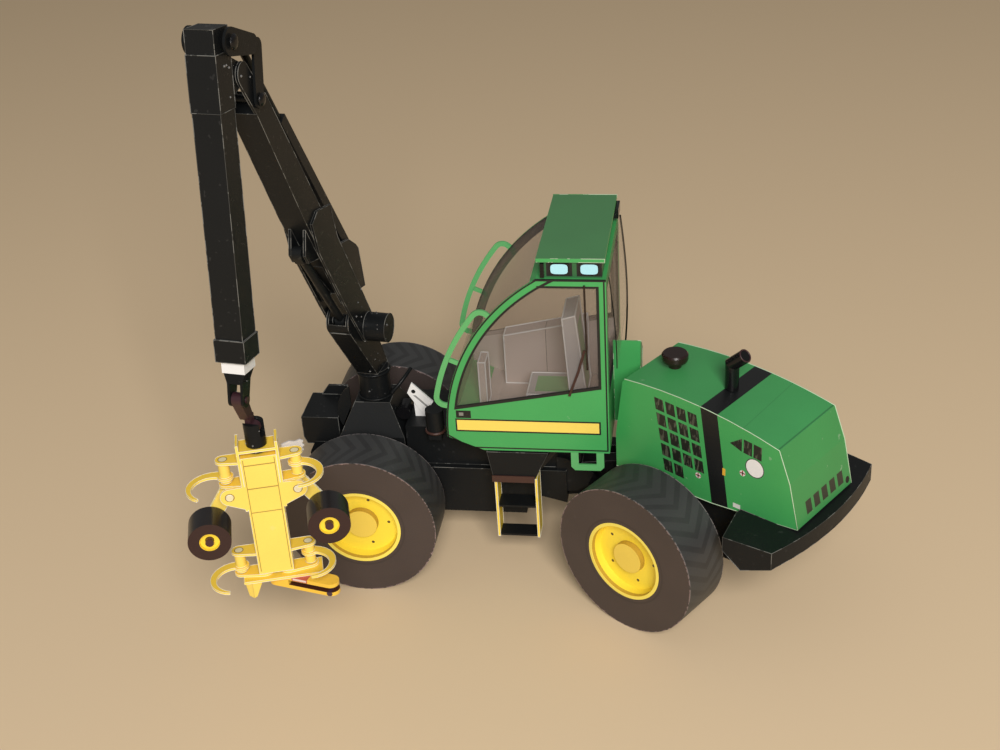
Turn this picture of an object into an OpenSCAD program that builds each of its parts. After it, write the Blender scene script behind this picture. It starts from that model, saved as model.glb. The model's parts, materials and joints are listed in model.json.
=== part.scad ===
// Card model of a wheeled forestry harvester, about 1:32.
// Millimetres. X points forward along the front frame, Y to the machine's left, Z up.
// The floor is z = 0, and the origin is under the middle of the outline as the model is posed.
// Inside the modules the place 0, 0 is the steering pin, where the front and rear frames join.

/* [Pose] */
// Angle of the rear frame to the front frame, tail to the left
steer_angle = -33; // [-33:1:33]
// Direction of the crane, measured from straight ahead to the left
slew_angle = 82; // [-90:1:90]
// Rise of the main boom above level
boom_angle = 60.6; // [45:0.1:70]
// Fall of the outer boom below level
stick_angle = 82.7; // [60:0.1:95]
// Turn of the harvester head about its rotator, from straight ahead
head_angle = 107.5; // [60:0.5:150]
// Middle of the posed outline ahead of the steering pin
centre_x = 12.63; // [-20:0.1:40]
// Middle of the posed outline to the left of the steering pin
centre_y = 26.68; // [0:0.1:60]

/* [Card] */
// Thickness of the card
card = 0.6; // [0.4:0.1:1]
// Thickness of the clear sheet in the windows
sheet = 0.4; // [0.2:0.1:0.6]
// Gap between plates that move past each other
slip = 0.3; // [0.2:0.05:0.6]
// Gap round a turning pin
pin_gap = 0.05; // [0.03:0.01:0.1]

/* [Wheels] */
// Radius of a tyre
tyre_r = 20.8; // [18:0.1:22]
// Width of a tyre
tyre_w = 14.7; // [12:0.1:16]
// From the centre line to a tyre's outer face
track_half = 33.2; // [31:0.1:36]
// Radius of the opening that holds the rim
rim_r = 11.2; // [9:0.1:14]
// Depth of the rim's dish
dish_depth = 3.2; // [2:0.1:5]
// Radius of the raised hub
hub_r = 4.3; // [3:0.1:6]
// Radius of an axle
axle_r = 2; // [1.5:0.1:2.6]
// Front axle ahead of the steering pin
front_axle_x = 66; // [60:0.5:72]
// Rear axle behind the steering pin
rear_axle_u = 28.5; // [27:0.5:32]

/* [Front frame] */
// Half the width of the front frame
frame_half = 12; // [9:0.5:14]
// Underside of the frames above the floor
frame_low = 12.6; // [10:0.2:15]
// Top of the frame's main box
frame_top = 27; // [24:0.5:29]
// Half the width of the frame's upper box
deck_half = 10; // [7:0.5:11]
// Front end of the upper box ahead of the steering pin
deck_end = 56.5; // [52:0.5:57]
// Radius of the steering pin
king_r = 2; // [1.5:0.1:3]
// Radius of the yoke's rounded ends
yoke_r = 6; // [5:0.5:7]

/* [Cab] */
// Half the width of the cab
cab_half = 20.8; // [18:0.1:22]
// Underside of the cab
cab_low = 39; // [38:0.5:41]
// Top edge of the cab's sides
cab_top = 90; // [84:0.5:96]
// Rear face of the cab behind the steering pin
cab_rear = 1; // [0.5:0.1:1.5]
// Radius of the curved front
cab_arc = 53.8; // [52:0.1:55]
// Width of the frame round a side window
cab_frame = 2.5; // [2:0.1:3.5]
// Height of the lamp strip under the roof
lamp_strip = 4.5; // [3:0.1:6]
// Top of the cab's sloping front corner
cab_nose = 43; // [42:0.5:45]

/* [Hood] */
// Half the width of the hood
hood_half = 12.6; // [11:0.1:13]
// Hood's lower front edge behind the steering pin
hood_front = 10.5; // [10.3:0.1:12]
// Hood's lower rear edge behind the steering pin
hood_rear = 67; // [62:0.5:70]
// Underside of the hood
hood_low = 32; // [31:0.5:33]
// Half the width of the rear ballast
ballast_half = 25; // [20:0.5:27]

/* [Crane] */
// Radius of the slewing post
post_r = 4.4; // [3.5:0.1:5]
// Top of the pedestal
pedestal_top = 43.4; // [41:0.1:46]
// Top of the slewing post
post_top = 52.3; // [50:0.1:55]
// Length of the main boom from pivot to elbow
boom_len = 98.7; // [90:0.1:105]
// Half the width of the main boom
boom_half = 3.3; // [3:0.1:4]
// Side of the square outer boom
stick_side = 6.55; // [5.5:0.05:7.5]
// Length of the outer boom below the elbow
stick_len = 61.6; // [50:0.1:70]
// Radius of the crane's pins
pin_r = 0.8; // [0.6:0.05:1]
// Radius of the large tube on the boom's pivot
pivot_tube_r = 3.9; // [3:0.1:4.5]

/* [Head] */
// Half the width of the head's spine
spine_half = 4.1; // [3.5:0.1:5]
// Radius of a feed roller
roller_r = 5.05; // [4:0.05:6]
// Length of a feed roller
roller_len = 7.5; // [6:0.1:9]
// From the head's middle to a feed roller's axis
roller_out = 14; // [13:0.1:16]
// From the head's middle to a knife's pin
knife_out = 8.3; // [7.5:0.1:9]
// Radius of a knife's curve
knife_arc = 5.3; // [4.5:0.1:6]

/* [Hidden] */
$fn = 48;

// Colours of the printed card
green = [0.16, 0.45, 0.20];
black = [0.05, 0.05, 0.05];
yellow = [0.96, 0.80, 0.15];
tyre_grey = [0.13, 0.12, 0.12];
clear_brown = [0.55, 0.48, 0.42, 0.4];

// Centre of the circle that the cab's front follows
arc_c = [-11.4, 44.1];
// Crane points as distance out from the post and height
post_x = front_axle_x + 0.5;
boom_foot = [9, 70];
strut_foot = [16.6, 75.2];
elbow = boom_foot + boom_len * [cos(boom_angle), sin(boom_angle)];
// Points on the main boom, along it and above it
strut_eye = [42, -7];
cylinder_foot = [20, 11];
rod_eye = [boom_len + 0.1, 7.7];
rocker_foot = [boom_len - 8.4, 0.4];
link_pin = [boom_len + 3.2, 5.6];
// Outer boom's centre line beside the elbow, and its end above the elbow
stick_off = 8.6;
stick_over = 11.2;
// Head of the link on the outer boom, along it and out from the elbow
link_top = [-8.15, 7.2];
// Hanging point of the head, past the outer boom's end and out from its centre line, to a tenth
tip_past = 9.63;
tip_out = 1.38;
hanging_point = elbow_point([stick_len + tip_past, stick_off + tip_out]);
tip_r = round(10 * hanging_point[0]) / 10;
tip_z = round(10 * hanging_point[1]) / 10;
// Axis of the rotator and the head, in from the hanging point and beside the boom
head_in = 2.2;
head_r = tip_r - head_in;
head_s = 1.3;
// Heights in the head's own frame: its hanging point, its swivel and its top plate
hang_z = 86.6;
swivel_z = 78;
plate_z = 72.8;
head_lift = tip_z - hang_z;
face_k = 2.6;

// Rounded bar between two circles, as a flat outline
module bar2d(a, ra, b, rb) {
  d = norm(b - a);
  th = atan2(b[1] - a[1], b[0] - a[0]);
  ph = acos((ra - rb) / d);
  translate(a) circle(ra);
  translate(b) circle(rb);
  polygon([
    a + ra * [cos(th + ph), sin(th + ph)], b + rb * [cos(th + ph), sin(th + ph)],
    b + rb * [cos(th - ph), sin(th - ph)], a + ra * [cos(th - ph), sin(th - ph)]]);
}

// Flat outline in length and height, made a plate from y0 to y1
module plate_y(y0, y1) {
  translate([0, y1, 0]) rotate([90, 0, 0]) linear_extrude(y1 - y0) children();
}

// The same plate on both sides of the centre line
module plates_y(y0, y1) {
  plate_y(y0, y1) children();
  plate_y(-y1, -y0) children();
}

// Rod along Y through a point of length and height
module rod_y(p, r, y0, y1) {
  translate([p[0], y1, p[1]]) rotate([90, 0, 0]) cylinder(r = r, h = y1 - y0);
}

module at_front() { translate([-centre_x, -centre_y, 0]) children(); }
module at_rear() { at_front() rotate(steer_angle) children(); }
module at_crane() { at_front() translate([post_x, 0, 0]) rotate(slew_angle) children(); }
module at_boom() {
  at_crane() translate([boom_foot[0], 0, boom_foot[1]]) rotate([0, -boom_angle, 0]) children();
}
module at_elbow() {
  at_crane() translate([elbow[0], 0, elbow[1]]) rotate([0, stick_angle, 0]) children();
}
module at_head() {
  at_crane() translate([head_r, head_s, head_lift]) rotate(head_angle - slew_angle) children();
}

// Wheels. The outer face looks along +Y.
module tyre_shape() {
  color(tyre_grey) rotate([-90, 0, 0]) translate([0, 0, -tyre_w]) difference() {
    cylinder(r = tyre_r, h = tyre_w, $fn = 96);
    translate([0, 0, -1]) cylinder(r = rim_r, h = tyre_w + 2, $fn = 64);
  }
}
// Rim outline, as radius and distance behind the outer face
module rim_shape() {
  lip = 0.9;
  back = tyre_w - 0.6;
  hub_rise = 1.6;
  bore_end = 4.2;
  bore = axle_r + pin_gap;
  color(yellow) rotate([90, 0, 0]) rotate_extrude($fn = 64) polygon([
    [0, dish_depth - hub_rise], [hub_r, dish_depth - hub_rise], [hub_r, dish_depth],
    [rim_r - lip - 0.5, dish_depth], [rim_r - lip, 0], [rim_r, 0], [rim_r, back],
    [bore, back], [bore, bore_end], [0, bore_end]]);
}
module at_wheel(end, side) {
  if (end == "front") at_front() translate([front_axle_x, side * track_half, tyre_r])
    rotate(side > 0 ? 0 : 180) children();
  if (end == "rear") at_rear() translate([-rear_axle_u, side * track_half, tyre_r])
    rotate(side > 0 ? 0 : 180) children();
}
module front_left_tyre() { at_wheel("front", 1) tyre_shape(); }
module front_left_rim() { at_wheel("front", 1) rim_shape(); }
module front_right_tyre() { at_wheel("front", -1) tyre_shape(); }
module front_right_rim() { at_wheel("front", -1) rim_shape(); }
module rear_left_tyre() { at_wheel("rear", 1) tyre_shape(); }
module rear_left_rim() { at_wheel("rear", 1) rim_shape(); }
module rear_right_tyre() { at_wheel("rear", -1) tyre_shape(); }
module rear_right_rim() { at_wheel("rear", -1) rim_shape(); }

// Axle tube with a thinner stub that runs in each rim
module axle_shape() {
  stub_end = track_half - 4.6;
  rod_y([0, tyre_r], axle_r, -stub_end, stub_end);
  for (s = [-1, 1])
    rod_y([0, tyre_r], 3, s > 0 ? frame_half + slip / 3 : -(track_half - tyre_w - 0.4),
      s > 0 ? track_half - tyre_w - 0.4 : -frame_half - slip / 3);
}
module front_axle() {
  color(black) at_front() translate([front_axle_x, 0, 0]) axle_shape();
}
module rear_axle() {
  color(black) at_rear() translate([-rear_axle_u, 0, 0]) axle_shape();
}

// Front frame: a main box with a narrower upper box and the upper and lower yoke
module front_frame() {
  yoke_top = 30;
  color(black) at_front() difference() {
    union() {
      plate_y(-frame_half, frame_half)
        polygon([[12, frame_low + 4], [19, frame_low + 5.9], [23.5, frame_low + 5.9],
          [23.5, frame_low], [78, frame_low], [84, frame_low + 5],
          [84, 31], [78, 31], [78, frame_top], [12, frame_top]]);
      translate([8, -deck_half, frame_top]) cube([deck_end - 8, 2 * deck_half, cab_low - frame_top]);
      for (z = [frame_low + 4, frame_top - 3])
        translate([0, 0, z]) linear_extrude(3) bar2d([0, 0], yoke_r, [20, 0], 9);
    }
    rod_y([front_axle_x, tyre_r], axle_r, -frame_half - 1, frame_half + 1);
    translate([0, 0, frame_low]) cylinder(r = king_r, h = 30);
  }
}

// Black box ahead of the crane
module front_box() {
  color(black) at_front() union() {
    plate_y(-6.7, 6.7)
      polygon([[76.5, 31], [84, 31], [84, 30.4], [86.2, 30.4], [87.1, 32.5], [87.1, 39], [76.5, 39]]);
    plate_y(-6.7, -6.7 + card) polygon([[76.5, 38], [85, 38], [82, 42], [76.5, 42]]);
  }
}

// Four-sided pedestal under the slewing post
module crane_pedestal() {
  base = 9.2;
  top = 5;
  shoulder = 34.5;
  color([0.08, 0.08, 0.08]) at_front() translate([post_x, 0, 0]) intersection_for(a = [0, 90])
    rotate(a) plate_y(-20, 20)
      polygon([[-base, frame_top], [base, frame_top], [base, shoulder], [top, pedestal_top],
        [-top, pedestal_top], [-base, shoulder]]);
}

// Valve block with its tilted white plate, and the round tank beside it, on the frame
module valve_block() {
  color([0.85, 0.85, 0.83]) at_front() union() {
    plate_y(4.4, 5) polygon([[54.9, 49.9], [49.2, 44], [52.1, 39.6], [56.3, 46.7]]);
    plate_y(1, 4.5) polygon([[51.6, cab_low], [54.6, cab_low], [54.9, 47.6], [51, 43.8]]);
  }
}
module round_tank() {
  color(black) at_front() translate([47.5, 12, 0]) union() {
    translate([0, 0, cab_low]) cylinder(r = 2.5, h = 7);
    translate([-1.8, deck_half - 12, cab_low - 2]) cube([3.6, 3.6, 2.3]);
  }
}

// Boarding steps under the cab's left door
module step_box() {
  color(black) at_front() plate_y(frame_half, cab_half + 0.3)
    polygon([[15.5, cab_low - 0.4], [32, cab_low - 0.4], [30.6, 30.2], [19.4, 30.2]]);
}
module step_sides() {
  color(yellow) at_front() for (x = [18.8, 29.8])
    translate([x, cab_half - 5.7, 11]) cube([card, 6, 19.2]);
}
module step_treads() {
  color(black) at_front() for (tread = [[11.3, 4.7], [20.8, 5.4]])
    translate([18.8 + card, cab_half + 0.3 - tread[1], tread[0]]) cube([11 - card, tread[1], card]);
}

// Side of the cab: straight rear, curved front, sloping lower corner
module cab_outline() {
  intersection() {
    translate(arc_c) circle(cab_arc, $fn = 128);
    polygon([[-cab_rear, cab_low], [32.7, cab_low], [42.4, cab_nose], [60, cab_nose],
      [60, cab_top], [-cab_rear, cab_top]]);
  }
}
module window_outline(grow) {
  intersection() {
    translate(arc_c) circle(cab_arc - cab_frame + grow, $fn = 128);
    polygon([[1.5 - grow, 59.3 - grow], [60, 48.5 - grow], [60, cab_top - 2.3 + grow],
      [1.5 - grow, cab_top - 2.3 + grow]]);
  }
}
module cab_side(side) {
  y = side > 0 ? cab_half - card : -cab_half;
  color(green) at_front() difference() {
    plate_y(y, y + card) cab_outline();
    plate_y(y - 1, y + card + 1) window_outline(0);
  }
}
module cab_side_left() { cab_side(1); }
module cab_side_right() { cab_side(-1); }
module side_window(side) {
  y = side > 0 ? cab_half - card - sheet : -cab_half + card;
  color(clear_brown) at_front() plate_y(y, y + sheet) window_outline(1);
}
module side_window_left() { side_window(1); }
module side_window_right() { side_window(-1); }

// Floor, sloping toe, lower front, rear wall with its opening and the top between the two sides
module cab_shell() {
  half = cab_half - card;
  color(green) at_front() difference() {
    plate_y(-half, half) difference() {
      cab_outline();
      intersection() {
        translate(arc_c) circle(cab_arc - card, $fn = 128);
        polygon([[-cab_rear + card, cab_low + card], [32.5, cab_low + card], [41.8, cab_nose + 0.5],
          [60, cab_nose + 0.5], [60, cab_top - card], [-cab_rear + card, cab_top - card]]);
      }
      polygon([[38, 52.4], [60, 52.4], [60, cab_top - 1], [16.4, cab_top - 1]]);
    }
    translate([-cab_rear - 1, -half + 3, 56]) cube([card + 2, 2 * half - 6, 30]);
  }
}
module windscreen() {
  half = cab_half - card;
  color(clear_brown) at_front() plate_y(-half, half) intersection() {
    difference() {
      translate(arc_c) circle(cab_arc, $fn = 128);
      translate(arc_c) circle(cab_arc - sheet, $fn = 128);
    }
    polygon([[30, 52.4], [60, 52.4], [60, cab_top - 1], [16, cab_top - 1]]);
  }
}
module rear_window() {
  half = cab_half - card;
  color(clear_brown) at_front() translate([-cab_rear + card, -half + 2, 55])
    cube([sheet, 2 * half - 4, 32]);
}

// Roof slab on a recessed strip that carries the lamps
module cab_roof() {
  color(green) at_front() union() {
    translate([0, -cab_half + 1.4, cab_top]) cube([15, 2 * cab_half - 2.8, lamp_strip]);
    translate([-0.8, -cab_half + 0.8, cab_top + lamp_strip]) cube([17.2, 2 * cab_half - 1.6, 1]);
  }
}
module roof_lamps() {
  color([0.55, 0.82, 0.95]) at_front() for (s = [-1, 1], x = [0.8, 8.3])
    translate([x, s > 0 ? cab_half - 1.4 : -cab_half + 1.4 - card, cab_top + 1.2])
      cube([4.6, card, lamp_strip - 1.6]);
}

// Handrail of flat card that follows the curved front
module handrail(side) {
  inner = cab_arc + 2.4;
  outer = cab_arc + 3.9;
  y = side > 0 ? cab_half - card : -cab_half;
  mid_tab = 23.4;
  color([0.25, 0.62, 0.33]) at_front() plate_y(y, y + card) difference() {
    translate(arc_c) union() {
      intersection() {
        difference() {
          circle(outer, $fn = 128);
          circle(inner, $fn = 128);
        }
        polygon([[0, 0], 70 * [cos(9), sin(9)], 70 * [cos(41), sin(41)]]);
      }
      for (a = [9, mid_tab, 41])
        rotate(a) translate([cab_arc - 1, -0.6]) square([inner - cab_arc + 1.4, 1.2]);
    }
    translate(arc_c) circle(cab_arc, $fn = 128);
  }
}
module handrail_left() { handrail(1); }
module handrail_right() { handrail(-1); }

// Loop step under the cab's rear corner
module step_loop() {
  color([0.25, 0.62, 0.33]) at_front() plate_y(cab_half - card, cab_half) difference() {
    polygon([[0.6, cab_low], [9.4, cab_low], [9.4, 34.5], [8.4, 33.4], [1.6, 33.4], [0.6, 34.5]]);
    translate([2.6, 35.2]) square([4.8, 5]);
  }
}

module cab_seat() {
  color([0.62, 0.62, 0.6]) at_front() union() {
    translate([9, -8, cab_low + card]) cube([14, 12, 7]);
    plate_y(-8, 4) polygon([[6.5, 46], [11, 46], [12.5, 70], [9, 71]]);
  }
}
module cab_console() {
  color([0.66, 0.64, 0.58]) at_front() union() {
    plate_y(-cab_half + 2, -cab_half + 7) polygon([[8, cab_low + card], [31.5, cab_low + card], [31.5, 55], [8, 60]]);
    plate_y(-5, 1) polygon([[34.6, cab_low + 1.65], [36.6, cab_low + 2.5], [36.6, 54.5], [34.6, 54.5]]);
  }
}

// Box behind the cab, ahead of the hood
module rear_cab_box() {
  color(green) at_front() intersection() {
    plate_y(-4, 4)
      polygon([[-7.8, cab_low], [-cab_rear, cab_low], [-cab_rear, 64], [-8.4, 64]]);
    translate([-10, 0, 0]) rotate([90, 0, 90]) linear_extrude(10)
      polygon([[-4, cab_low], [4, cab_low], [4, 64], [-4, 57.5]]);
  }
}

// Rear frame with the tongue that turns between the yoke's plates
module rear_frame() {
  low = frame_low + 7 + slip;
  high = frame_top - 3 - slip;
  color(black) at_rear() difference() {
    union() {
      translate([0, 0, low]) linear_extrude(high - low) bar2d([0, 0], yoke_r - 0.5, [-16, 0], 7);
      plate_y(-9.5, 9.5)
        polygon([[-14, frame_low + 2], [-48, frame_low + 2], [-57, hood_low - 3], [-66, hood_low - 3],
          [-66, hood_low], [-14, hood_low]]);
    }
    rod_y([-rear_axle_u, tyre_r], axle_r, -11, 11);
    translate([0, 0, frame_low]) cylinder(r = king_r + pin_gap, h = 30);
  }
}

// Hood with an arched top, a sloping tail and a leaning front edge
module hood() {
  top_arc = [-27.7, -70.4];
  color(green) at_rear() intersection() {
    plate_y(-hood_half - 1, hood_half + 1) intersection() {
      translate(top_arc) circle(131.2, $fn = 360);
      polygon([[-hood_front, hood_low], [-hood_front, 42.4], [-13, 59], [-14.4, 61], [-60, 61],
        [-60.9, 56.6], [-64.2, 48], [-hood_rear, 35.6], [-41.5, hood_low + 0.9]]);
    }
    translate([0, 0, hood_low - 1]) linear_extrude(40)
      polygon([[-5, -hood_half + 0.6], [-12, -hood_half + 0.6], [-62, -hood_half - 0.4], [-70, -hood_half - 0.4],
        [-70, hood_half + 0.4], [-62, hood_half + 0.4], [-12, hood_half - 0.6], [-5, hood_half - 0.6]]);
  }
}
module pre_cleaner() {
  color([0.16, 0.1, 0.09]) at_rear() translate([-21.1, 0, 60.68]) rotate_extrude()
    polygon([[0, 0], [1.7, 0], [2, 1.6], [3.3, 1.9], [3.5, 2.5], [3.5, 3.7], [3.1, 4.2], [0, 4.2]]);
}
module exhaust_pipe() {
  bend = 47;
  color(black) at_rear() translate([-38.9, 0.4, 60.48]) union() {
    difference() {
      cylinder(r = 1.8, h = 12);
      translate([0, 0, 7]) rotate([0, -bend / 2, 0]) translate([-6, -6, 0]) cube(12);
    }
    translate([0, 0, 7]) rotate([0, -bend, 0]) difference() {
      translate([0, 0, -6]) cylinder(r = 1.8, h = 11.1);
      rotate([0, bend / 2, 0]) translate([-6, -6, -12]) cube(12);
    }
  }
}

// Ballast: a flat black body with a bowed rear edge, deeper along its slanted front
module rear_ballast() {
  front_u = -50.5;
  deep = 26.8;
  high = 35;
  color(black) at_rear() difference() {
    intersection() {
      translate([0, 0, deep]) linear_extrude(high - deep) intersection() {
        translate([17.5, 0]) circle(87.5, $fn = 240);
        polygon([[front_u, -15], [front_u - 3, -ballast_half - 0.6], [-90, -ballast_half + 3.4],
          [-90, ballast_half - 3.4], [front_u - 3, ballast_half + 0.6], [front_u, 15]]);
      }
      plate_y(-ballast_half - 1, ballast_half + 1)
        polygon([[front_u, high - 1.5], [-58.4, deep], [-67, 30.2], [-90, 31], [-90, high], [front_u, high]]);
    }
    translate([-66 - slip, -9.5 - slip, 20]) cube([40, 19 + 2 * slip, 30]);
    plate_y(-hood_half - 0.41, hood_half + 0.41)
      polygon([[-hood_rear, 35.6], [-41.5, hood_low + 0.9], [-41.5, 40], [-66, 40]]);
  }
}

// Crane post: the tube and the leaning open channel on it
module crane_post() {
  cheek = boom_half - slip;
  color(black) at_crane() difference() {
    union() {
      translate([0, 0, pedestal_top]) cylinder(r = post_r, h = post_top - pedestal_top);
      difference() {
        plate_y(-cheek, cheek) {
          polygon([[-3.6, post_top], [4.4, post_top], [18.9, 72.5], [14, 78.5], [5.6, 71.6]]);
          translate(strut_foot) circle(3.4);
          translate(boom_foot) circle(3.6);
        }
        plate_y(-cheek + card, cheek - card)
          polygon([[-1.8, post_top + 1.5], [3.4, post_top + 1.5], [18.5, 73.9], [24, 80], [10, 90], [4.2, 75]]);
      }
      rod_y(boom_foot, pin_r, -boom_half - card, boom_half + card);
      rod_y(strut_foot, pin_r, -cheek + 0.1, cheek - 0.1);
    }
  }
}

// Strut under the boom, hinged on the post's channel, with a slotted upper eye
module lift_strut() {
  eye = 1.2;
  len = norm(strut_eye - boom_local(strut_foot));
  turn = atan2(strut_eye[1] - boom_local(strut_foot)[1], strut_eye[0] - boom_local(strut_foot)[0]);
  travel = 0.9;
  color(black) at_crane() translate([strut_foot[0], 0, strut_foot[1]])
    rotate([0, -boom_angle - turn, 0]) difference() {
      union() {
        rod_y([0, 0], 1.9, -eye, eye);
        rotate([0, 90, 0]) cylinder(r = 1.1, h = len - 2.2);
        plate_y(-eye, eye) bar2d([len - travel, 0], 1.8, [len + travel, 0], 1.8);
      }
      rod_y([0, 0], pin_r + pin_gap, -eye - 1, eye + 1);
      plate_y(-eye - 1, eye + 1) bar2d([len - travel, 0], pin_r + 0.25, [len + travel, 0], pin_r + 0.25);
    }
}
function boom_local(p) = [
  (p[0] - boom_foot[0]) * cos(boom_angle) + (p[1] - boom_foot[1]) * sin(boom_angle),
  -(p[0] - boom_foot[0]) * sin(boom_angle) + (p[1] - boom_foot[1]) * cos(boom_angle)];

// Main boom: box beam, side plates at its foot, brackets and the fork at the elbow
module main_boom() {
  side = boom_half + card;
  color(black) at_boom() difference() {
    union() {
      plate_y(-boom_half, boom_half)
        polygon([[16, -3.4], [40, -3.6], [52, -3.6], [64, -3], [boom_len - 14.7, -2.2],
          [boom_len - 10.7, -2], [boom_len - 10.7, 4.2], [60, 4.4], [16, 4.6]]);
      plates_y(boom_half, side) {
        circle(4.2);
        polygon([[-1, -4.1], [14, -4.8], [40, -4.9], [48.6, -2.4], [48.4, 1.8], [43, 8], [40, 6.5],
          [34, 4.8], [7, 4.2], [-1, 4.1]]);
      }
      plates_y(boom_half - card, boom_half) bar2d([boom_len - 12.7, 1], 2.8, [boom_len, 0], 2.6);
      plates_y(1.6, 1.6 + card) {
        polygon([[10, 4.4], [6, 9], [17, 13.4], [19, 13], [24, 11], [30, 4.4]]);
        polygon([[36, -3.4], [40.6, -8.2], [43.4, -8.2], [48, -3.4]]);
      }
      rod_y([boom_len, 0], pin_r, -boom_half, boom_half);
      rod_y(strut_eye, pin_r, -1.7, 1.7);
      rod_y(cylinder_foot, pin_r, -1.7, 1.7);
      rod_y(rocker_foot, pin_r, -boom_half - slip - card, boom_half + slip + card);
      rod_y([0, 0], pivot_tube_r, side + slip, 9.8);
      rod_y([0, 0], pivot_tube_r, side, side + slip);
    }
    rod_y([0, 0], pin_r + pin_gap, -side - 1, side);
    plate_y(-1.7, 1.7) polygon([[14, -6], [14, -0.4], [32, -3.2], [34, -6]]);
  }
}

// Square fold cylinder above the boom and its round rod
module at_cylinder() {
  turn = atan2(rod_eye[1] - cylinder_foot[1], rod_eye[0] - cylinder_foot[0]);
  at_boom() translate([cylinder_foot[0], 0, cylinder_foot[1]]) rotate([0, -turn, 0]) children();
}
module fold_cylinder() {
  color([0.12, 0.12, 0.12]) at_cylinder() difference() {
    union() {
      translate([2, -1.4, -1.4]) cube([52, 2.8, 2.8]);
      rod_y([0, 0], 1.5, -1.3, 1.3);
      translate([0, -1.3, -1.4]) cube([3, 2.6, 2.8]);
    }
    rod_y([0, 0], pin_r + pin_gap, -2, 2);
    translate([20, 0, 0]) rotate([0, 90, 0]) cylinder(r = 0.9 + pin_gap, h = 40);
  }
}
module fold_rod() {
  len = norm(rod_eye - cylinder_foot);
  color([0.2, 0.2, 0.2]) at_cylinder() union() {
    translate([36, 0, 0]) rotate([0, 90, 0]) cylinder(r = 0.9, h = len - 37.6);
    difference() {
      rod_y([len, 0], 2, -1.2, 1.2);
      rod_y([len, 0], pin_r + 0.4, -2, 2);
    }
  }
}

// Rocker: two plates outside the boom, joined by the rod's pin
module rocker_link() {
  in = boom_half + slip;
  out = in + card;
  color([0.1, 0.1, 0.1]) at_boom() union() {
    difference() {
      plates_y(in, out) {
        bar2d(rocker_foot, 2, rod_eye, 2);
        bar2d(rod_eye, 2, link_pin, 1.7);
      }
      rod_y(rocker_foot, pin_r + pin_gap, -out - 1, out + 1);
    }
    rod_y(rod_eye, pin_r, -in, in);
  }
}

// Outer boom: sleeve, square beam, end collar and lugs to the elbow
module outer_boom() {
  h = stick_side / 2;
  lug = boom_half - card - 0.15;
  link_y = boom_half + slip + 2 * card + 0.4;
  grow = 0.35;
  color(black) at_elbow() difference() {
    union() {
      translate([-stick_over, -h, stick_off - h]) cube([stick_over + stick_len - 5, stick_side, stick_side]);
      translate([-6, -h - 0.15, stick_off - h - 0.15]) cube([12, stick_side + 0.3, stick_side + 0.3]);
      translate([stick_len - 5.2, -h - grow, stick_off - h - grow])
        cube([5.2, stick_side + 2 * grow, stick_side + 2 * grow]);
      plates_y(lug - card, lug) {
        circle(2.5);
        polygon([[-2.5, 0], [2.5, 0], [4.5, stick_off - h + 0.3], [-5, stick_off - h + 0.3]]);
      }
      rod_y(link_top, pin_r, -link_y, link_y);
    }
    rod_y([0, 0], pin_r + pin_gap, -5, 5);
    translate([10, -h + 0.4, stick_off - h + 0.4])
      cube([stick_len, stick_side - 0.8, stick_side - 0.8]);
  }
}

// Plates from the rocker to the outer boom's head, outside the rocker
module fold_link() {
  y = boom_half + slip + card + 0.1;
  a = boom_point(link_pin);
  b = elbow_point(link_top);
  color([0.1, 0.1, 0.1]) at_crane() difference() {
    plates_y(y, y + card) bar2d(a, 2.2, b, 3);
    rod_y(b, pin_r + pin_gap, -y - 2, y + 2);
  }
}
function boom_point(p) = boom_foot + [
  p[0] * cos(boom_angle) - p[1] * sin(boom_angle), p[0] * sin(boom_angle) + p[1] * cos(boom_angle)];
function elbow_point(p) = elbow + [
  p[0] * cos(stick_angle) + p[1] * sin(stick_angle), -p[0] * sin(stick_angle) + p[1] * cos(stick_angle)];

// White sliding extension, and the narrowing dark fork on its end
module boom_extension() {
  h = stick_side / 2 - 0.5;
  color([0.9, 0.9, 0.88]) at_elbow()
    translate([24, -h, stick_off - h]) cube([stick_len + 2.9 - 24, 2 * h, 2 * h]);
}
module extension_fork() {
  top = stick_len + 2.9;
  tip = elbow_local([tip_r, tip_z]);
  ear = 1.3 + card;
  color(black) at_elbow() difference() {
    intersection() {
      plate_y(-4, 4) {
        translate(tip) circle(1.7);
        polygon([[top, stick_off - 2.4], tip + [-0.3, -1.67], tip + [-0.3, 1.67], [top, stick_off + 2.5]]);
      }
      translate([0, 0, stick_off - 10]) linear_extrude(20)
        polygon([[top, -2.6], [top + 2.4, -ear], [top + 12, -ear], [top + 12, ear], [top + 2.4, ear], [top, 2.6]]);
    }
    translate([top + 2.6, -1.3, stick_off - 9]) cube([20, 2.6, 18]);
    rod_y(tip, pin_r + pin_gap, -4, 4);
  }
}
function elbow_local(p) = [
  (p[0] - elbow[0]) * cos(stick_angle) - (p[1] - elbow[1]) * sin(stick_angle),
  (p[0] - elbow[0]) * sin(stick_angle) + (p[1] - elbow[1]) * cos(stick_angle)];

// Twisted link that leans from the fork to the rotator, with crossed eyes
module hanging_link() {
  color([0.2, 0.08, 0.1]) at_crane() translate([0, 0, head_lift]) union() {
    rod_y([tip_r, hang_z], pin_r, -2.2, 2.2);
    plate_y(-1.2, 1.2) bar2d([tip_r, hang_z], 1.6, [head_r + 0.3, swivel_z + 3.2], 1.1);
    translate([head_r - 1, head_s - 1.5, swivel_z + 0.9]) cube([2, 1.5, 2.6]);
    translate([head_r - 1, head_s, swivel_z]) rotate([0, 90, 0]) difference() {
      cylinder(r = 1.5, h = 2);
      translate([0, 0, -1]) cylinder(r = pin_r + pin_gap, h = 4);
    }
  }
}

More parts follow.
